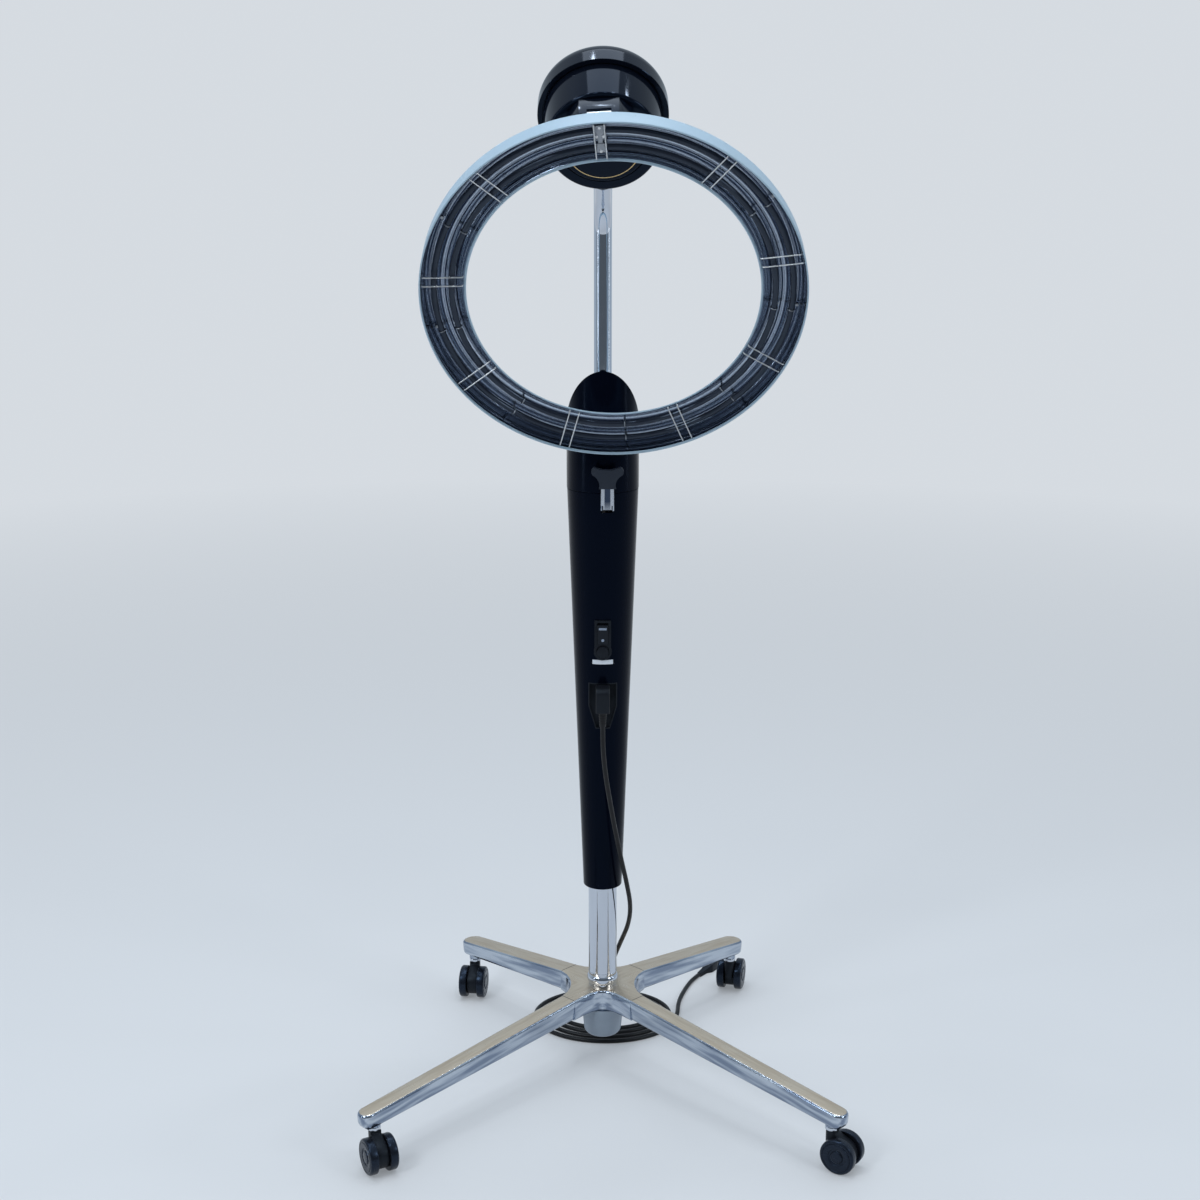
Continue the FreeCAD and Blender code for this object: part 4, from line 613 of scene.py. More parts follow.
def spun_reflector():
    """Mirror pan of the ring with turned grooves round its centre; its colour is painted reflection, near
    black with bright rings.
    """
    finish = Finish("spun_reflector", (0.16, 0.19, 0.26), 0.06, metallic=1.0)
    x, y, _ = finish.split(finish.local(RING))
    line = finish.node("ShaderNodeCombineXYZ", None, {"X": finish.length(x, y), "Y": 0.0, "Z": 0.0})
    grooves = finish.noise(420.0, 3.0, 0.6, line)
    painted_reflection_rings = finish.noise(330.0, 3.0, 0.7, line)
    finish.feed("Roughness", finish.ramp(grooves, 0.3, 0.75, 0.03, 0.10))
    # Painted reflection: the metal's colour goes from near black to bright blue-white in rings, standing in
    # for lamps and room seen in the mirror.
    bright = finish.ramp(painted_reflection_rings, 0.45, 0.59)
    finish.feed("Base Color", finish.blend(bright, (0.03, 0.045, 0.09), (0.74, 0.85, 1.0)))
    finish.bump(grooves, 0.8, 0.003)
    return finish.material


def heater_quartz():
    finish = Finish("heater_quartz", (0.01, 0.013, 0.02), 0.05, specular_ior_level=0.45,
                    specular_tint=(0.6, 0.76, 1.0, 1.0))
    cloud = finish.noise(40.0, 2.0)
    finish.feed("Base Color", finish.blend(cloud, (0.008, 0.010, 0.017), (0.022, 0.026, 0.036)))
    return finish.material


def cord_rubber():
    finish = Finish("cord_rubber", (0.006, 0.0065, 0.008), 0.34, specular_ior_level=0.28)
    finish.feed("Roughness", finish.ramp(finish.noise(90.0, 3.0), 0.3, 0.8, 0.3, 0.5))
    finish.bump(finish.noise(500.0, 2.0), 0.08, 0.0003)
    return finish.material


def board_green():
    green = (0.02, 0.10, 0.04)
    finish = Finish("board_laminate", green, 0.35)
    weave = finish.ramp(finish.noise(150.0), 0.45, 0.55)
    finish.feed("Base Color", finish.blend(weave, green, (0.03, 0.14, 0.06)))
    return finish.material


def flat_print(name, color, roughness=0.4):
    finish = Finish(name, color, roughness)
    finish.feed("Roughness", finish.ramp(finish.noise(200.0), 0.3, 0.7, roughness - 0.06, roughness + 0.06))
    return finish.material


CASTING = polished_casting()
CHROME = chrome()
STEEL = satin_steel()
DULL_STEEL = satin_steel("dull_steel", (0.27, 0.29, 0.32))
LEVER_STEEL = shaded_sheet()
BLACK = gloss_black()
COLUMN_BLACK = gloss_black("column_black", (0.0012, 0.002, 0.006), 0.16, 0.28, 0.08)
WHEEL_BLACK = gloss_black("wheel_nylon", (0.008, 0.0085, 0.011), 0.2, 0.36, 0.4)
MATTE = grained_black()
GRIP = grained_black("lever_grip", (0.018, 0.021, 0.03), 0.36)
GREY = grey_moulding()
SHELL = pale_shell()
MIRROR = spun_reflector()
QUARTZ = heater_quartz()
RUBBER = cord_rubber()
BOARD = board_green()
WHITE_PRINT = flat_print("white_print", (0.72, 0.75, 0.80))
WORN_PRINT = flat_print("worn_print", (0.26, 0.31, 0.40))
# Brass-coloured steel used as a painted highlight on the rotor disc's rim.
RIM_PAINTED_HIGHLIGHT = satin_steel("rim_painted_highlight", (0.65, 0.48, 0.24))
SEAM_SHADE = flat_print("seam_shadow", (0.02, 0.02, 0.025), 0.6)
SMOKED = flat_print("smoked_window", (0.02, 0.022, 0.026), 0.12)


def fit(piece, body, slot, material, *nodes):
    """Give a piece its finish and its body, and let it stand for its solids."""
    piece.data.materials.clear()
    piece.data.materials.append(material)
    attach(piece, body)
    if nodes:
        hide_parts(*nodes)
    return piece


# Stand

def make_hub():
    """Star casting: drafted arms joined by hollow webs, and the chromed ball at the tube's foot."""
    ends = []
    for leg in LEGS.values():
        along = Vector(leg["stem"]).normalized()
        across = Vector((-along.y, along.x))
        side = across * leg["root"] / 2
        ends.append((along * HUB_SEAM - side, along * HUB_SEAM + side, along))
    points = []
    for number, (right, left, along) in enumerate(ends):
        next_right, _, next_along = ends[(number + 1) % 4]
        points += [tuple(right), tuple(left)]
        middle = (along + next_along).normalized() * HUB_WEBS[number]
        for share in (0.15, 0.3, 0.42, 0.5, 0.58, 0.7, 0.85):
            bow = 4 * share * (1 - share)
            straight = left.lerp(next_right, share)
            pull = middle - left.lerp(next_right, 0.5)
            points.append(tuple(straight + pull * bow ** HUB_WEB_BOWS[number]))
    seams = [((*(along * HUB_SEAM), 0), (*along, 0)) for _, _, along in ends]
    star = slab("base_star", points, LEG_TOP_ROOT - LEG_DEPTH_ROOT, LEG_TOP_ROOT, "xy")
    crisp_ends(star, seams, 4.0, 5, 50)
    drum_top = LEG_TOP_ROOT - 1
    drum = spun("base_drum", [(0, HUB_FOOT), (HUB_DRUM_R - 0.1, HUB_FOOT), (HUB_DRUM_R, HUB_FOOT + 1),
                              (HUB_DRUM_R, drum_top), (0, drum_top)])
    fit(joined("base_casting", drum, star), "base", "cast_aluminium", CASTING, "base_hub")
    bore = TUBE_R + 0.05
    ball = spun("base_ball", [
        (bore, 141), (bore, 136), (17, 128), (17, drum_top), (18.4, drum_top), (18.8, drum_top + 1.2),
        *arc(*BALL_CENTRE, BALL_R, -62, 58, 18), (21.8, 139.4), (21.9, 140.6), (bore, 141)], None, 96, 40)
    return fit(ball, "base", "cast_aluminium", CHROME)


def make_leg(name, leg):
    """Tapered leg with drafted sides, a nose round in plan and slanted below, and the caster's boss."""
    stem = Vector(leg["stem"])
    out = stem.length
    tip_out = out + leg["nose"]
    root, tip = leg["root"] / 2, leg["tip"] / 2
    middle = 100.0
    draft = LEG_DRAFT / (LEG_DEPTH_ROOT - LEG_EDGE) / root
    root_middle = root * (1 - draft * (LEG_TOP_ROOT - LEG_EDGE - middle))
    tip_middle = tip * (1 + draft * (middle - leg["top"] + LEG_EDGE))
    nose = [(tip_out + tip * math.cos(math.radians(a)), tip_middle * math.sin(math.radians(a)))
            for a in range(-85, 90, 10)]
    plan = [(HUB_SEAM, -root_middle), (tip_out, -tip_middle), *nose,
            (tip_out, tip_middle), (HUB_SEAM, root_middle)]
    low, high = 40.0, 140.0
    body = slab(name + "_body", plan, low, high, "xy")
    for level in (low, high):
        unpicked(body, "VERT")
        for vertex in body.data.vertices:
            vertex.select = abs(vertex.co.z - level * MM) < MM
        bpy.ops.object.mode_set(mode="EDIT")
        bpy.ops.transform.resize(value=(1, 1 + draft * (level - middle), 1), center_override=(0, 0, 0))
        bpy.ops.object.mode_set(mode="OBJECT")
    fall = (LEG_TOP_ROOT - leg["top"]) / (tip_out - HUB_SEAM)
    rise = (LEG_TOP_ROOT - LEG_DEPTH_ROOT - leg["top"] + LEG_DEPTH_TIP) / (tip_out - HUB_SEAM)
    bpy.ops.object.mode_set(mode="EDIT")
    for place, way in (((HUB_SEAM, 0, LEG_TOP_ROOT), (fall, 0, 1)),
                       ((HUB_SEAM, 0, LEG_TOP_ROOT - LEG_DEPTH_ROOT), (-rise, 0, -1)),
                       ((tip_out + tip, 0, leg["top"] - NOSE_FACE), (1, 0, -1))):
        bpy.ops.mesh.select_all(action="SELECT")
        bpy.ops.mesh.bisect(plane_co=Vector(place) * MM, plane_no=way, use_fill=True, clear_outer=True)
    bpy.ops.mesh.select_all(action="SELECT")
    bpy.ops.mesh.normals_make_consistent(inside=False)
    bpy.ops.object.mode_set(mode="OBJECT")
    crisp_ends(body, [((HUB_SEAM, 0, 0), (-1, 0, 0))], 4.5, 6, 40)
    bore = STEM_R + 0.1
    boss = spun(name + "_boss", [
        (bore, BOSS_FOOT), (BOSS_R - 0.8, BOSS_FOOT), (BOSS_R, BOSS_FOOT + 0.8), (BOSS_R, BOSS_TOP),
        (bore, BOSS_TOP), (bore, BOSS_FOOT)], Matrix.Translation((out * MM, 0, 0)), 48)
    foot, bottom, top = root - LEG_DRAFT, LEG_TOP_ROOT - LEG_DEPTH_ROOT + 1, LEG_TOP_ROOT + 0.1
    near, far = HUB_SEAM - 0.4, HUB_SEAM + 0.4
    outline = [(-foot, bottom), (foot, bottom), (root, top), (-root, top)]
    seam = slab(name + "_seam", outline, near, far, "yz")
    crisp_ends(seam, [((near, 0, 0), (-1, 0, 0)), ((far, 0, 0), (1, 0, 0))], 4.2, 5, 40)
    whole = joined(name + "_casting", boss, body)
    turn = Matrix.Rotation(math.atan2(stem.y, stem.x), 4, "Z")
    settled(whole, turn)
    fit(settled(seam, turn), "base", "cast_aluminium", SEAM_SHADE)
    return fit(whole, "base", "cast_aluminium", CASTING, name + "_leg")


def make_stems():
    """Chrome caster stems, each with its pressed collar."""
    collar = BOSS_FOOT - 5
    r = STEM_R
    profile = [(0, 32), (5, 32), (r, 32.6), (r, collar), (8.8, collar), (9.4, collar + 0.6),
               (9.4, BOSS_FOOT - 0.7), (9.0, BOSS_FOOT), (r, BOSS_FOOT), (r, 80.5), (5, 81), (0, 81)]
    stems = []
    for leg in LEGS.values():
        x, y = leg["stem"]
        stems.append(spun("stem", profile, Matrix.Translation((x * MM, y * MM, 0)), 48))
    fit(joined("caster_stem_pins", *stems), "base", "chrome", CHROME, "caster_stems")


def make_caster(leg):
    """Twin wheels with tyre shoulders and dished hub caps, on a moulded body."""
    key = leg["caster"]
    x, y = leg["stem"]
    place = Matrix.Translation((x * MM, y * MM, 0)) @ Matrix.Rotation(math.radians(leg["trail"]), 4, "Z")
    half = CASTER_HALF
    hood = 20.0
    side = [(0, CASTER_TOP), (0, 26), *arc(CASTER_TRAIL, WHEEL_R, hood, -140, 60, 20),
            (half, CASTER_TOP - 4), (half, CASTER_TOP)]
    plate = slab("plate", side, -half, half, "xz", place)
    rounded(plate, 1.0, 2, 50)
    bore = STEM_R + 0.1
    neck = spun("neck", [(bore, CASTER_TOP), (bore, 28), (half, 26), (half, CASTER_TOP - 1),
                         (half - 0.6, CASTER_TOP), (bore, CASTER_TOP)], place, 40)
    frame_piece = joined("caster_frame_" + key, neck, plate)
    fit(frame_piece, "caster_" + key, "black_matte", MATTE, "caster_body_" + key)

    wheels = []
    outer = WHEEL_OUTER
    profile = [(3.05, WHEEL_INNER), (22.8, WHEEL_INNER), *arc(23.8, WHEEL_INNER + 1.7, 1.7, -90, 0, 4),
               *arc(22.2, outer - 3.6, 3.3, 0, 80, 8), (22.2, outer - 0.3), (21.2, outer - 0.4),
               (20.7, outer - 0.9), (20.1, outer - 0.9), (19.7, outer - 0.2), (18.9, outer),
               (12.6, outer - 1.0), (11.9, outer - 1.8), (9.4, outer - 2.2), (8.8, outer - 1.2),
               (8.1, outer - 0.5), (5.0, outer - 0.1), (0, outer - 0.05)]
    axle = place @ Matrix.Translation((CASTER_TRAIL * MM, 0, WHEEL_R * MM))
    for way in (-90, 90):
        wheels.append(spun("wheel", profile, axle @ Matrix.Rotation(math.radians(way), 4, "X"), 72))
    fit(joined("caster_twin_wheels_" + key, *wheels), "wheels_" + key, "caster_tread", WHEEL_BLACK,
        "caster_wheels_" + key)


def make_stand():
    make_hub()
    for name, leg in LEGS.items():
        make_leg(name, leg)
        make_caster(leg)
    make_stems()
    cup = spun("hub_cup_moulding", [
        (0, CUP_FOOT), (18, CUP_FOOT), *arc(18.6, CUP_FOOT + 10, 10, -82, -5, 8), (30.5, 67.3), (30.5, 68.0),
        (31.2, 68.2), (CUP_R, 68.6), (CUP_R, HUB_FOOT - 0.6), (31.0, HUB_FOOT), (HUB_DRUM_R, HUB_FOOT),
        (HUB_DRUM_R, 70), (25, 48), (18, CUP_FOOT + 3), (0, CUP_FOOT + 3)])
    fit(cup, "base", "grey_plastic", GREY, "hub_cup")
    bore = TUBE_R - 2
    tube = spun("chrome_stand_tube", [(bore, TUBE_FOOT), (TUBE_R, TUBE_FOOT), (TUBE_R, TUBE_TOP - 0.5),
                                      (TUBE_R - 0.5, TUBE_TOP), (bore, TUBE_TOP), (bore, TUBE_FOOT)])
    fit(tube, "base", "chrome", CHROME, "lower_tube")


# Column

def cover_r(z):
    return COVER_FOOT_R + (COVER_TOP_R - COVER_FOOT_R) / (COVER_TOP - COVER_FOOT) * (z - COVER_FOOT)


def cap_plane():
    """Frame on the middle of the cap's oblique rear face, its Z outwards."""
    steep = math.atan2(CAP_FRONT_TOP - CAP_BACK_TOP, 2 * COVER_TOP_R)
    height = (CAP_FRONT_TOP + CAP_BACK_TOP) / 2
    return Matrix.Translation((0, 0, height * MM)) @ Matrix.Rotation(-steep, 4, "X")


def brick(name, low, high, place=None):
    return slab(name, [(low[0], low[1]), (high[0], low[1]), (high[0], high[1]), (low[0], high[1])],
                low[2], high[2], "xy", place)


def make_cover():
    """Tapered black cover with the lever's notch, the switch window and the inlet recess."""
    foot_r, top_r = COVER_FOOT_R, COVER_TOP_R
    inner_foot = foot_r - COVER_WALL
    cover = spun("column_taper", [
        (inner_foot, COVER_FOOT), (foot_r - 2, COVER_FOOT),
        *arc(foot_r - 1.7, COVER_FOOT + 1.8, 1.7, -70, 0, 4), (top_r - 0.5, COVER_TOP - 0.8),
        (top_r - 0.9, COVER_TOP - 0.2), (top_r - COVER_WALL, COVER_TOP - 0.2), (inner_foot, COVER_FOOT)],
        None, 128)
    front, behind = -60, -30
    notch = brick("notch", (LEVER_X - NOTCH_HALF, front, NOTCH_FOOT),
                  (LEVER_X + NOTCH_HALF, behind + 10, COVER_TOP + 6))
    window = brick("window", (-SWITCH_HALF, front, SWITCH_FOOT), (SWITCH_HALF, behind, SWITCH_TOP))
    round_window = slab("round_window", arc(0, RESET_Z, RESET_R, 0, 345, 23), front, behind, "xz")
    recess = slab("recess", [
        (-INLET_HALF, INLET_TOP), (INLET_HALF, INLET_TOP), (INLET_HALF, INLET_WAIST),
        (INLET_FOOT_HALF, INLET_FOOT), (-INLET_FOOT_HALF, INLET_FOOT), (-INLET_HALF, INLET_WAIST)],
        front, behind, "xz")
    cut(cover, notch, window, round_window, recess)
    fit(smoothed(cover), "column", "black_gloss", COLUMN_BLACK, "column_cover")
    strip_r = cover_r(STRIP_Z)
    outside = arc(0, 0, strip_r + 0.3, -110.4, -69.6, 24)
    inside = arc(0, 0, strip_r - 0.6, -69.6, -110.4, 24)
    strip = slab("bare_strip", outside + inside, STRIP_Z - 3.3, STRIP_Z + 3.2, "xy")
    fit(strip, "column", "grey_plastic", WHITE_PRINT)


def make_cap():
    """Cap above the seam, cut off obliquely behind, with the control panel set in the cut."""
    r = COVER_TOP_R
    inner = r - COVER_WALL
    above = CAP_FRONT_TOP + 10
    cap = spun("column_cap_shell", [(inner, COVER_TOP), (r - 0.8, COVER_TOP + 0.2), (r, COVER_TOP + 1.0),
                                    (r, above), (inner, above), (inner, COVER_TOP)], None, 128)
    cut(cap, brick("wedge", (-80, -250, 0), (80, 250, 150), cap_plane()))
    fit(rounded(cap, 0.9, 3, 40), "column", "black_gloss", COLUMN_BLACK, "column_cap")

    stretch = math.hypot(CAP_FRONT_TOP - CAP_BACK_TOP, 2 * r) / (2 * r)
    oval = [(a, b * stretch) for a, b in arc(0, 0, inner - 0.6, 0, 345, 47)]
    panel = slab("panel_plate", oval, -3.6, -0.9, "xy", cap_plane())
    bore, foot = POLE_R + 0.3, CAP_BACK_TOP - 3
    hole = spun("pole_hole", [(0, foot), (bore, foot), (bore, above), (0, above)],
                Matrix.Translation((0, POLE_Y * MM, 0)), 48)
    cut(panel, hole)
    fit(rounded(panel, 0.5, 2, 50), "column", "black_gloss", COLUMN_BLACK, "control_panel")
    window = brick("panel_window", (-22, -12, -0.95), (22, 10, -0.55), cap_plane())
    fit(rounded(window, 0.25, 2, 40), "column", "black_gloss", SMOKED)
    keys = []
    for y in (-26, -42, -58):
        for x in (-18, 0, 18):
            keys.append(slab("key", arc(x, y, 5, 0, 345, 23), -0.95, -0.45, "xy", cap_plane()))
    fit(rounded(joined("panel_keys", *keys), 0.2, 2, 40), "column", "grey_plastic", GREY)


def make_switch():
    """Bezel, rocker and reset button, the rocker with its white bar and dot."""
    fit(dressed("switch_bezel", "switch_frame", 0.5), "column", "black_matte", MATTE, "switch_bezel")
    rocker = dressed("rocker_switch", "rocker_key", 0.5)
    fit(rocker, "rocker", "black_matte", MATTE, "rocker_switch")
    slope = math.atan((COVER_TOP_R - COVER_FOOT_R) / (COVER_TOP - COVER_FOOT))
    face = (Matrix.Translation((0, -cover_r(ROCKER_Z) * MM, ROCKER_Z * MM))
            @ Matrix.Rotation(slope, 4, "X")
            @ Matrix.Translation((0, ROCKER_PIVOT_IN * MM, 0))
            @ Matrix.Rotation(math.radians(ROCKER_SWING / 2), 4, "X")
            @ Matrix.Translation((0, (-ROCKER_PIVOT_IN - 2.8) * MM, 0)))
    lean = math.atan(ROCKER_HOLLOW / ROCKER_HALF)
    bar = slab("on_bar", [(-5.6, 7.6), (5.6, 7.6), (5.6, 11.2), (-5.6, 11.2)], -0.18, 0.3, "xz",
               face @ Matrix.Rotation(lean, 4, "X"))
    dot = slab("off_ring", arc(0, -8.8, 2.1, 0, 350, 35), -0.18, 0.3, "xz",
               face @ Matrix.Rotation(-lean, 4, "X"))
    fit(joined("rocker_marks", dot, bar), "rocker", "grey_plastic", WORN_PRINT)
    fit(dressed("reset_button", "reset_key", 0.5), "reset", "black_matte", MATTE, "reset_button")


def make_inlet():
    fit(dressed("inlet_socket", "inlet_tray", 0.3), "column", "black_matte", MATTE, "inlet_socket")
    connector = dressed("cord_connector", "inlet_connector", 1.5, 3)
    fit(connector, "column", "plug_black", MATTE, "cord_connector")
    relief = [(0, CORD_EXIT), (4.4, CORD_EXIT), (4.6, CORD_EXIT + 0.6)]
    for step in range(5):
        z = CORD_EXIT + 3 + step * 4
        r = 4.7 + step * 0.33
        relief += [(r, z), (r + 0.15, z + 2.4), (r - 0.7, z + 2.7), (r - 0.6, z + 3.7)]
    relief += [(6.1, CORD_EXIT + 22), (0, CORD_EXIT + 22)]
    piece = spun("inlet_strain_relief", relief, Matrix.Translation((0, CORD_Y * MM, 0)), 40, 25)
    return fit(piece, "column", "cord_jacket", RUBBER, "strain_relief")


def pole_points():
    """Centre line of the bent pole and the direction of its end run."""
    lean = math.radians(POLE_LEAN)
    curve = arc(POLE_Y - POLE_BEND_R, POLE_BEND_START, POLE_BEND_R, 0, POLE_LEAN, 24)
    bend = [(0, a, b) for a, b in curve]
    way = Vector((0, -math.sin(lean), math.cos(lean)))
    end = Vector(bend[-1]) + way * POLE_END_RUN
    return [(0, POLE_Y, POLE_FOOT)] + bend + [tuple(end)], end, way


def make_pole():
    points, end, way = pole_points()
    fit(rod("chrome_pole", points, POLE_R, None, 48), "column", "chrome", CHROME, "upper_pole")
    top = end - way * 24
    turn = Vector((0, 0, 1)).rotation_difference(way).to_matrix().to_4x4()
    bore = POLE_R + 0.1
    collar = spun("pole_ring", [
        (bore, -9), (14.6, -9), (15.6, -8.2), (16, -7), (16, -1), (15.4, 0), (bore, 0), (bore, -9)],
        Matrix.Translation(top * MM) @ turn, 48)
    fit(collar, "column", "chrome", CHROME, "pole_collar")


# Head

def make_head():
    """Dome with its lip and pole boss, motor drum, rotor disc with a brass-coloured ring on its edge as a
    painted highlight.
    """
    _, end, way = pole_points()
    rim = -DRUM_LENGTH
    mouth = DOME_MOUTH_R
    shoulder = rim - 15
    back = shoulder - DOME_CORNER
    crown_r = DOME_R - DOME_CORNER
    dome = spun("head_dome", [
        (mouth, rim), (mouth, rim + 2.6), (mouth + 0.5, rim + 3), (DOME_R - 0.6, rim + 3),
        (DOME_R, rim + 2.4), (DOME_R, shoulder), *arc(crown_r, shoulder, DOME_CORNER, 0, -90, 24),
        (20, back), (0, back), (0, back + 3), (crown_r, back + 3), (DOME_R - 3, shoulder), (DOME_R - 3, rim),
        (mouth, rim)], HEAD, 160)
    turn = Vector((0, 0, 1)).rotation_difference(way).to_matrix().to_4x4()
    bore = POLE_R + 0.1
    boss = spun("head_boss", [
        (bore, -24), (17.4, -24), (18.6, -23.2), (19, -22), (19, 7), (bore, 7), (bore, -24)],
        Matrix.Translation(end * MM) @ turn, 64)
    keep_out = spun("keep_out", [
        (0, back + 4), (80.5, back + 4), (80.5, rim - 1), (mouth + 0.1, rim - 1), (mouth + 0.1, 30), (0, 30),
        (0, back + 4)], HEAD, 96)
    cut(boss, keep_out)
    fit(joined("dome_casing", boss, dome), "column", "black_gloss", BLACK, "dome_shell")

    drum = spun("drum_casing", [
        (58.5, -2.5), (58.5, -0.6), (59.1, 0), *arc(68.5, -4, 4, 90, 3, 8), (76.5, rim), (80.8, rim),
        (80.8, rim - 3), (74, rim - 3), (70.4, -12), (20, -12), (20, -24), (16, -24), (16, -8), (70, -8),
        (70, -2.5), (58.5, -2.5)], HEAD, 160)
    fit(drum, "column", "black_gloss", BLACK, "drum_shell")
    step = DISC_STEP_R
    disc = spun("rotor_cover", [
        (0, -5), (DISC_R - 0.5, -5), (DISC_R, -4.5), (DISC_R, 1.4), *arc(DISC_R - 1.5, 1.5, 1.5, 0, 90, 4),
        (step + 0.6, 3), (step, 3.5), (step, 6.4), *arc(step - 1.5, 6.5, 1.5, 0, 90, 4), (0, 8)], ORBIT, 128)
    fit(disc, "arm", "black_gloss", BLACK, "rotor_disc")
    # Painted highlight: a thin brass-coloured ring on the disc's edge stands in for the light caught by its
    # rim.
    edge = spun("rotor_edge_painted_highlight", [
        (step - 1.4, 7.9), (step - 0.5, 7.6), (step - 0.05, 6.9), (step + 0.1, 6.9), (step - 0.2, 7.8),
        (step - 1.4, 8.0), (step - 1.4, 7.9)], ORBIT, 128)
    fit(edge, "arm", "black_gloss", RIM_PAINTED_HIGHLIGHT)
    fit(dressed("arm_box", "arm_casing", 2.2, 4), "arm", "black_gloss", BLACK, "arm_box")


# Ring

def make_ring():
    """Pale shell, mirror pan, two heater tubes, clips, guard wires, terminal plate and hinge leaf."""
    back = -RING_DEPTH
    lip = -RING_INNER_SET
    corner_r = RING_R - 0.5 - RING_CORNER
    corner_z = back + RING_CORNER
    wall_z = back + RING_WALL
    shell = spun("ring_casing", [
        (RING_R - RING_WALL, 0), (RING_R - 0.7, 0.0), (RING_R, -0.7), (RING_R - 0.5, corner_z),
        *arc(corner_r, corner_z, RING_CORNER, 0, -90, 12), (RING_SLOPE_R, back),
        (RING_SLOPE_R - 1, back + 0.6), (RING_INNER_R, lip - 0.4), (RING_INNER_R + 0.4, lip + 0.2),
        (RING_INNER_R + 1.6, lip + 0.2), (RING_INNER_R + RING_WALL, lip - 0.4), (RING_SLOPE_R + 1.2, wall_z),
        (corner_r, wall_z), *arc(corner_r, corner_z, RING_CORNER - RING_WALL, -90, 0, 8),
        (RING_R - RING_WALL, 0)], RING, 224)
    fit(shell, "ring", "shell_white", SHELL, "ring_shell")

    pan = spun("mirror_pan", [
        (PAN_INNER_R, -15.5), (199, -23), *arc(209, -20.6, 10.2, 200, 325, 14), (219.5, -25.4),
        (221.5, -24.6), (223.5, -25.4), *arc(234.5, -18.5, 12.2, 215, 338, 16), (247.2, -14),
        (PAN_OUTER_R, -8), (249.3, -4.0), (249.4, -4.6), (PAN_OUTER_R, -14), (246, -30.8), (220, -31.7),
        (206.4, -31.6), (PAN_INNER_R - 0.4, -16.2), (PAN_INNER_R, -15.5)], RING, 224)
    fit(pan, "ring", "mirror_pan", MIRROR, "reflector")

    heaters = []
    for circle_r in HEATER_CIRCLES:
        gap = math.degrees(HEATER_GAP / circle_r)
        points = [(a, b, -HEATER_SET) for a, b in arc(0, 0, circle_r, 90 + gap, 450 - gap, 180)]
        heaters.append(rod("heater", points, HEATER_R, RING, 16))
    fit(joined("heater_loops", *heaters), "ring", "heater_glass", QUARTZ, "heater_tubes")

    clips = []
    for angle in CLIP_ANGLES:
        place = RING @ Matrix.Rotation(math.radians(angle), 4, "Z")
        for circle_r in HEATER_CIRCLES:
            saddle = [(circle_r + a, 0, -HEATER_SET + b)
                      for a, b in arc(0, 0, HEATER_R + 0.7, -60, 240, 14)]
            clips.append(rod("saddle", saddle, 0.7, place, 8))
            leg = [(circle_r, 0, -HEATER_SET - 4.6), (circle_r, 0, -29)]
            clips.append(rod("clip_leg", leg, 1.6, place, 10))
            nut = [(circle_r + 8 + a, b) for a, b in arc(0, 0, 2.2, 0, 300, 5)]
            clips.append(slab("clip_nut", nut, -30, -26.5, "xy", place))
    fit(joined("tube_saddles", *clips), "ring", "steel", DULL_STEEL, "tube_clips")

    wires = []
    for angle in WIRE_ANGLES:
        place = RING @ Matrix.Rotation(math.radians(angle), 4, "Z")
        for side in (-WIRE_PAIR / 2, WIRE_PAIR / 2):
            points = [(PAN_OUTER_R, side, -11), (248.4, side, -1.8), (244, side, -2.6), (220, side, -7.3),
                      (198, side, -11.6), (PAN_INNER_R, side, -12.4), (194.3, side, -17)]
            wires.append(rod("wire", points, WIRE_R, place, 10, 6))
    fit(joined("guard_bars", *wires), "ring", "steel", STEEL, "guard_wires")
    fit(dressed("terminal_clip", "terminal_plate", 0.5), "ring", "steel", DULL_STEEL, "terminal_clip")
    screws = []
    for x, y in ((0, 237.0), (4.4, 225.5), (-4.4, 225.5), (0, 205.6)):
        screws.append(spun("screw", [(0, -12.4), (1.7, -12.5), (2.0, -12.9), (2.0, -13.3), (0, -13.3)],
                           RING @ Matrix.Translation((x * MM, y * MM, 0)), 20))
    fit(joined("terminal_screws", *screws), "ring", "steel", STEEL)
    fit(dressed("ring_bracket", "ring_hinge_leaf", 0.4), "ring", "steel", STEEL, "ring_bracket")


# Lever

def make_lever():
    fit(dressed("lever_channel", "lever_sheet", 0.4), "lever", "steel", LEVER_STEEL, "lever_channel")
    fit(dressed("lever_handle", "lever_wing", 2.6, 5), "lever", "black_matte", GRIP, "lever_handle")


# Cord

def coil_route():
    """Lead-in, spiral and tail of the coil on the floor, 16 points to a turn."""
    points = [(*place, CORD_R) for place in COIL_LEAD]
    per_turn = 16
    for step in range(int(COIL_TURNS * per_turn) + 1):
        share = step / per_turn
        turn = math.pi + 2 * math.pi * share
        side = 0.5 + 0.5 * math.cos(turn - math.radians(COIL_FAN_SIDE))
        fan = COIL_FAN * (share - COIL_TURNS / 2) * side
        points.append((COIL_CENTRE[0] + (COIL_START[0] + COIL_STEP * share + fan) * math.cos(turn),
                       COIL_CENTRE[1] + (COIL_START[1] + COIL_STEP * share + fan) * math.sin(turn), CORD_R))
    points += [(*place, CORD_R) for place in CORD_TAIL]
    tail_way = Vector((*TAIL_WAY, 0)).normalized()
    points.append(tuple(Vector(points[-1]) + tail_way * 2 * CORD_R))
    return points


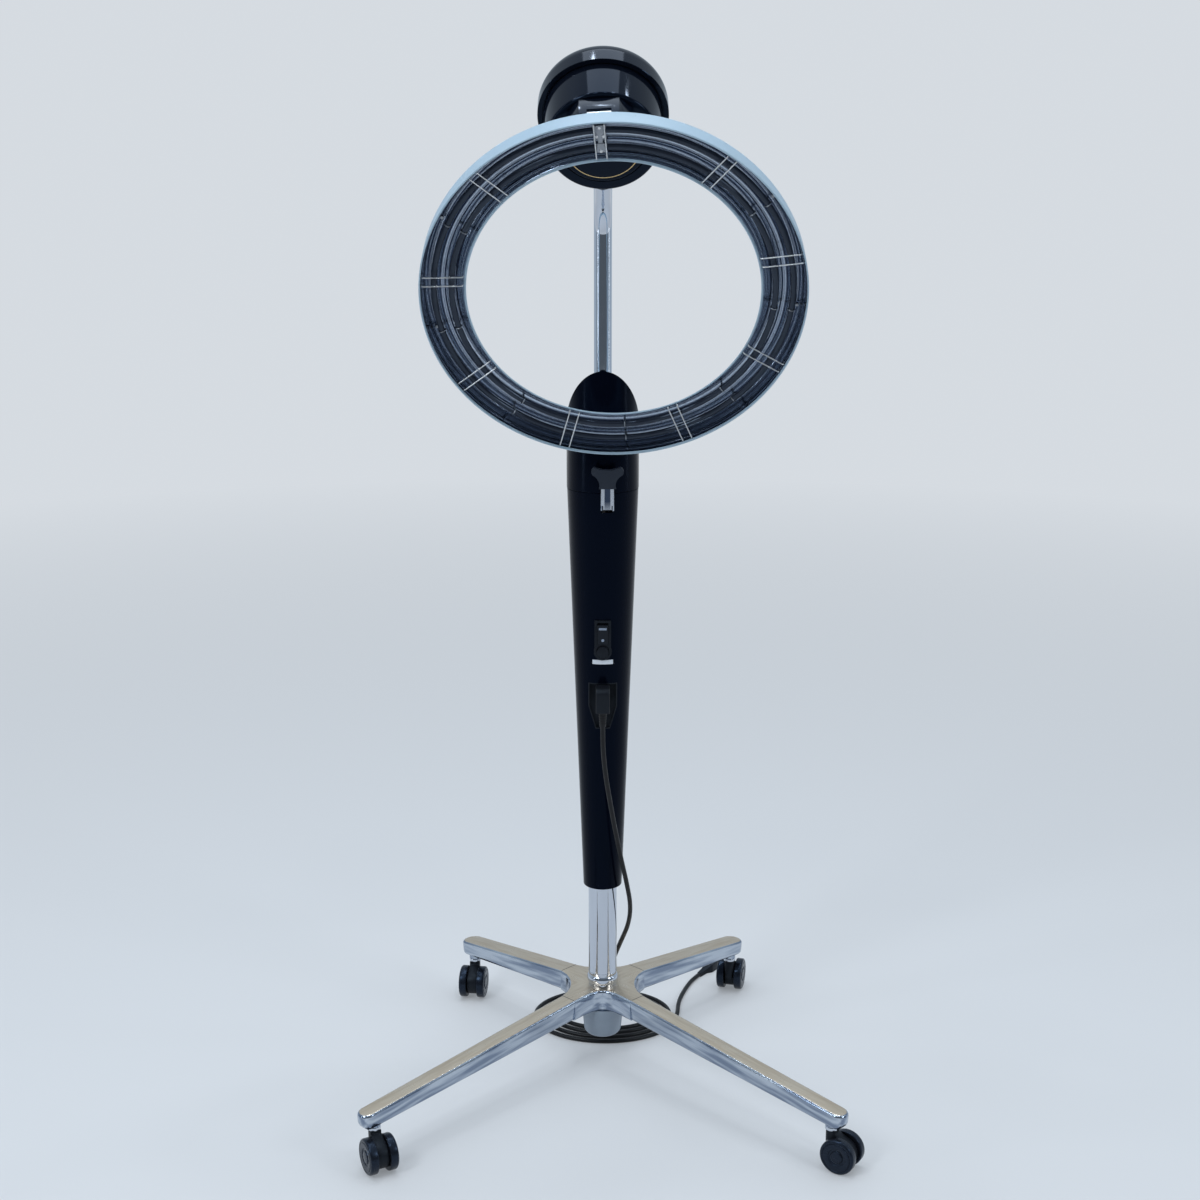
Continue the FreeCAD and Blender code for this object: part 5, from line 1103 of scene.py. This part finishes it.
def make_cord():
    """Mains cord from the connector to the floor, its coil and its plug."""
    line = line_along("mains_cord", list(CORD_ROUTE) + coil_route(), 6)
    bare = bpy.data.meshes.new_from_object(line)
    cord = thickened(line, CORD_R, 12, None, 60)
    cord.name = "mains_cord"
    cord.data.materials.clear()
    cord.data.materials.append(RUBBER)
    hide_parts("power_cord", "cord_coil")
    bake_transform(cord)
    plug = dressed("mains_plug", "plug_moulding", 1.2, 3)
    fit(plug, "base", "plug_black", MATTE, "mains_plug")


# Setting

def make_floor():
    """Pale floor that fades into the backdrop far off and keeps the object's shadow near it."""
    bpy.ops.object.select_all(action="DESELECT")
    bpy.ops.mesh.primitive_circle_add(vertices=96, radius=FLOOR_R, fill_type="NGON", location=(0, 0, 0))
    floor = bpy.context.object
    floor.name = "floor"
    ground = Finish("pale_floor", (0.71, 0.70, 0.70), 0.6)
    nodes, links = ground.tree.nodes, ground.tree.links
    path = nodes.new("ShaderNodeLightPath")
    seen = Value(ground, path.outputs["Is Camera Ray"]) + Value(ground, path.outputs["Is Glossy Ray"])
    seen = seen + Value(ground, path.outputs["Is Transmission Ray"])
    x, y, _ = ground.split(ground.place)
    faded = ground.ramp(ground.length(x, y), *FLOOR_FADE)
    glow = nodes.new("ShaderNodeEmission")
    glow.inputs["Color"].default_value = (*BACKDROP, 1)
    both = nodes.new("ShaderNodeMixShader")
    links.new((seen * faded).socket, both.inputs[0])
    links.new(ground.shader.outputs[0], both.inputs[1])
    links.new(glow.outputs[0], both.inputs[2])
    links.new(both.outputs[0], nodes["Material Output"].inputs["Surface"])
    floor.data.materials.append(ground.material)


def eased(tree, value, start, end, low, high):
    """Brightness that goes smoothly from low to high as a direction goes from start to end."""
    node = tree.nodes.new("ShaderNodeMapRange")
    node.interpolation_type = "SMOOTHSTEP"
    tree.links.new(value, node.inputs["Value"])
    for socket, number in (("From Min", start), ("From Max", end), ("To Min", low), ("To Max", high)):
        node.inputs[socket].default_value = number
    return node.outputs[0]


def make_world():
    """Studio brighter behind the object and above it than in front; the camera sees a plain backdrop."""
    world = bpy.data.worlds.new("studio")
    bpy.context.scene.world = world
    world.use_nodes = True
    tree = world.node_tree
    nodes, links = tree.nodes, tree.links
    where = nodes.new("ShaderNodeTexCoord")
    axes = nodes.new("ShaderNodeSeparateXYZ")
    links.new(where.outputs["Generated"], axes.inputs[0])
    total = nodes.new("ShaderNodeMath")
    links.new(eased(tree, axes.outputs["Y"], *STUDIO_BEHIND), total.inputs[0])
    links.new(eased(tree, axes.outputs["Z"], *STUDIO_ABOVE), total.inputs[1])
    shade = nodes["Background"]
    shade.inputs["Color"].default_value = (0.74, 0.87, 1.0, 1)
    links.new(total.outputs[0], shade.inputs["Strength"])
    backdrop = nodes.new("ShaderNodeBackground")
    backdrop.inputs["Color"].default_value = (*BACKDROP, 1)
    path = nodes.new("ShaderNodeLightPath")
    mix = nodes.new("ShaderNodeMixShader")
    links.new(path.outputs["Is Camera Ray"], mix.inputs[0])
    links.new(shade.outputs[0], mix.inputs[1])
    links.new(backdrop.outputs[0], mix.inputs[2])
    links.new(mix.outputs[0], nodes["World Output"].inputs["Surface"])


def make_lamps():
    """Large soft lamps, two tall strips that line the chrome, and a ceiling of small spots."""
    lamps = list(LAMPS)
    for number, (x, y) in enumerate(CEILING_SPOTS):
        place = (x, y, CEILING_HEIGHT)
        lamps.append(("ceiling_%d" % number, place, (SPOT_SIZE, SPOT_SIZE), SPOT_POWER, SPOT_AIM))
    for name, place, size, power, height in lamps:
        light = bpy.data.lights.new(name, "AREA")
        light.energy = power
        light.color = LAMP_COLOR
        light.shape = "RECTANGLE"
        light.size, light.size_y = size
        lamp = added(name, light)
        lamp.location = place
        towards = Vector((0, 0, height)) - Vector(place)
        lamp.rotation_euler = towards.to_track_quat("-Z", "Y").to_euler()


def make_camera():
    view = bpy.data.cameras.new("camera")
    view.lens = CAMERA_LENS
    view.sensor_width = 36.0
    camera = added("camera", view)
    camera.location = CAMERA_PLACE
    camera.rotation_euler = (math.radians(90 - CAMERA_TILT), 0, 0)
    bpy.context.scene.camera = camera
    bpy.context.scene.view_settings.view_transform = "Standard"


def finish_solids():
    """Finishes for the solids that stay as they are."""
    for material, names in (
            (STEEL, ("gas_rod", "gas_cylinder", "inner_tube", "lever_pin", "gear_motor", "shaft_bearing",
                     "drive_shaft", "hinge_pin", "caster_axle_fl", "caster_axle_fr", "caster_axle_rl",
                     "caster_axle_rr")),
            (MATTE, ("guide_bush", "switch_body", "slip_ring")),
            (CASTING, ("pole_clamp",)),
            (BOARD, ("circuit_board",))):
        for name in names:
            mesh = frame["nodes"][name].data
            mesh.materials.clear()
            mesh.materials.append(material)


make_floor()
make_world()
make_lamps()
make_camera()
make_stand()
make_cover()
make_cap()
make_switch()
relief = make_inlet()
make_pole()
make_head()
make_ring()
make_lever()
make_cord()
finish_solids()
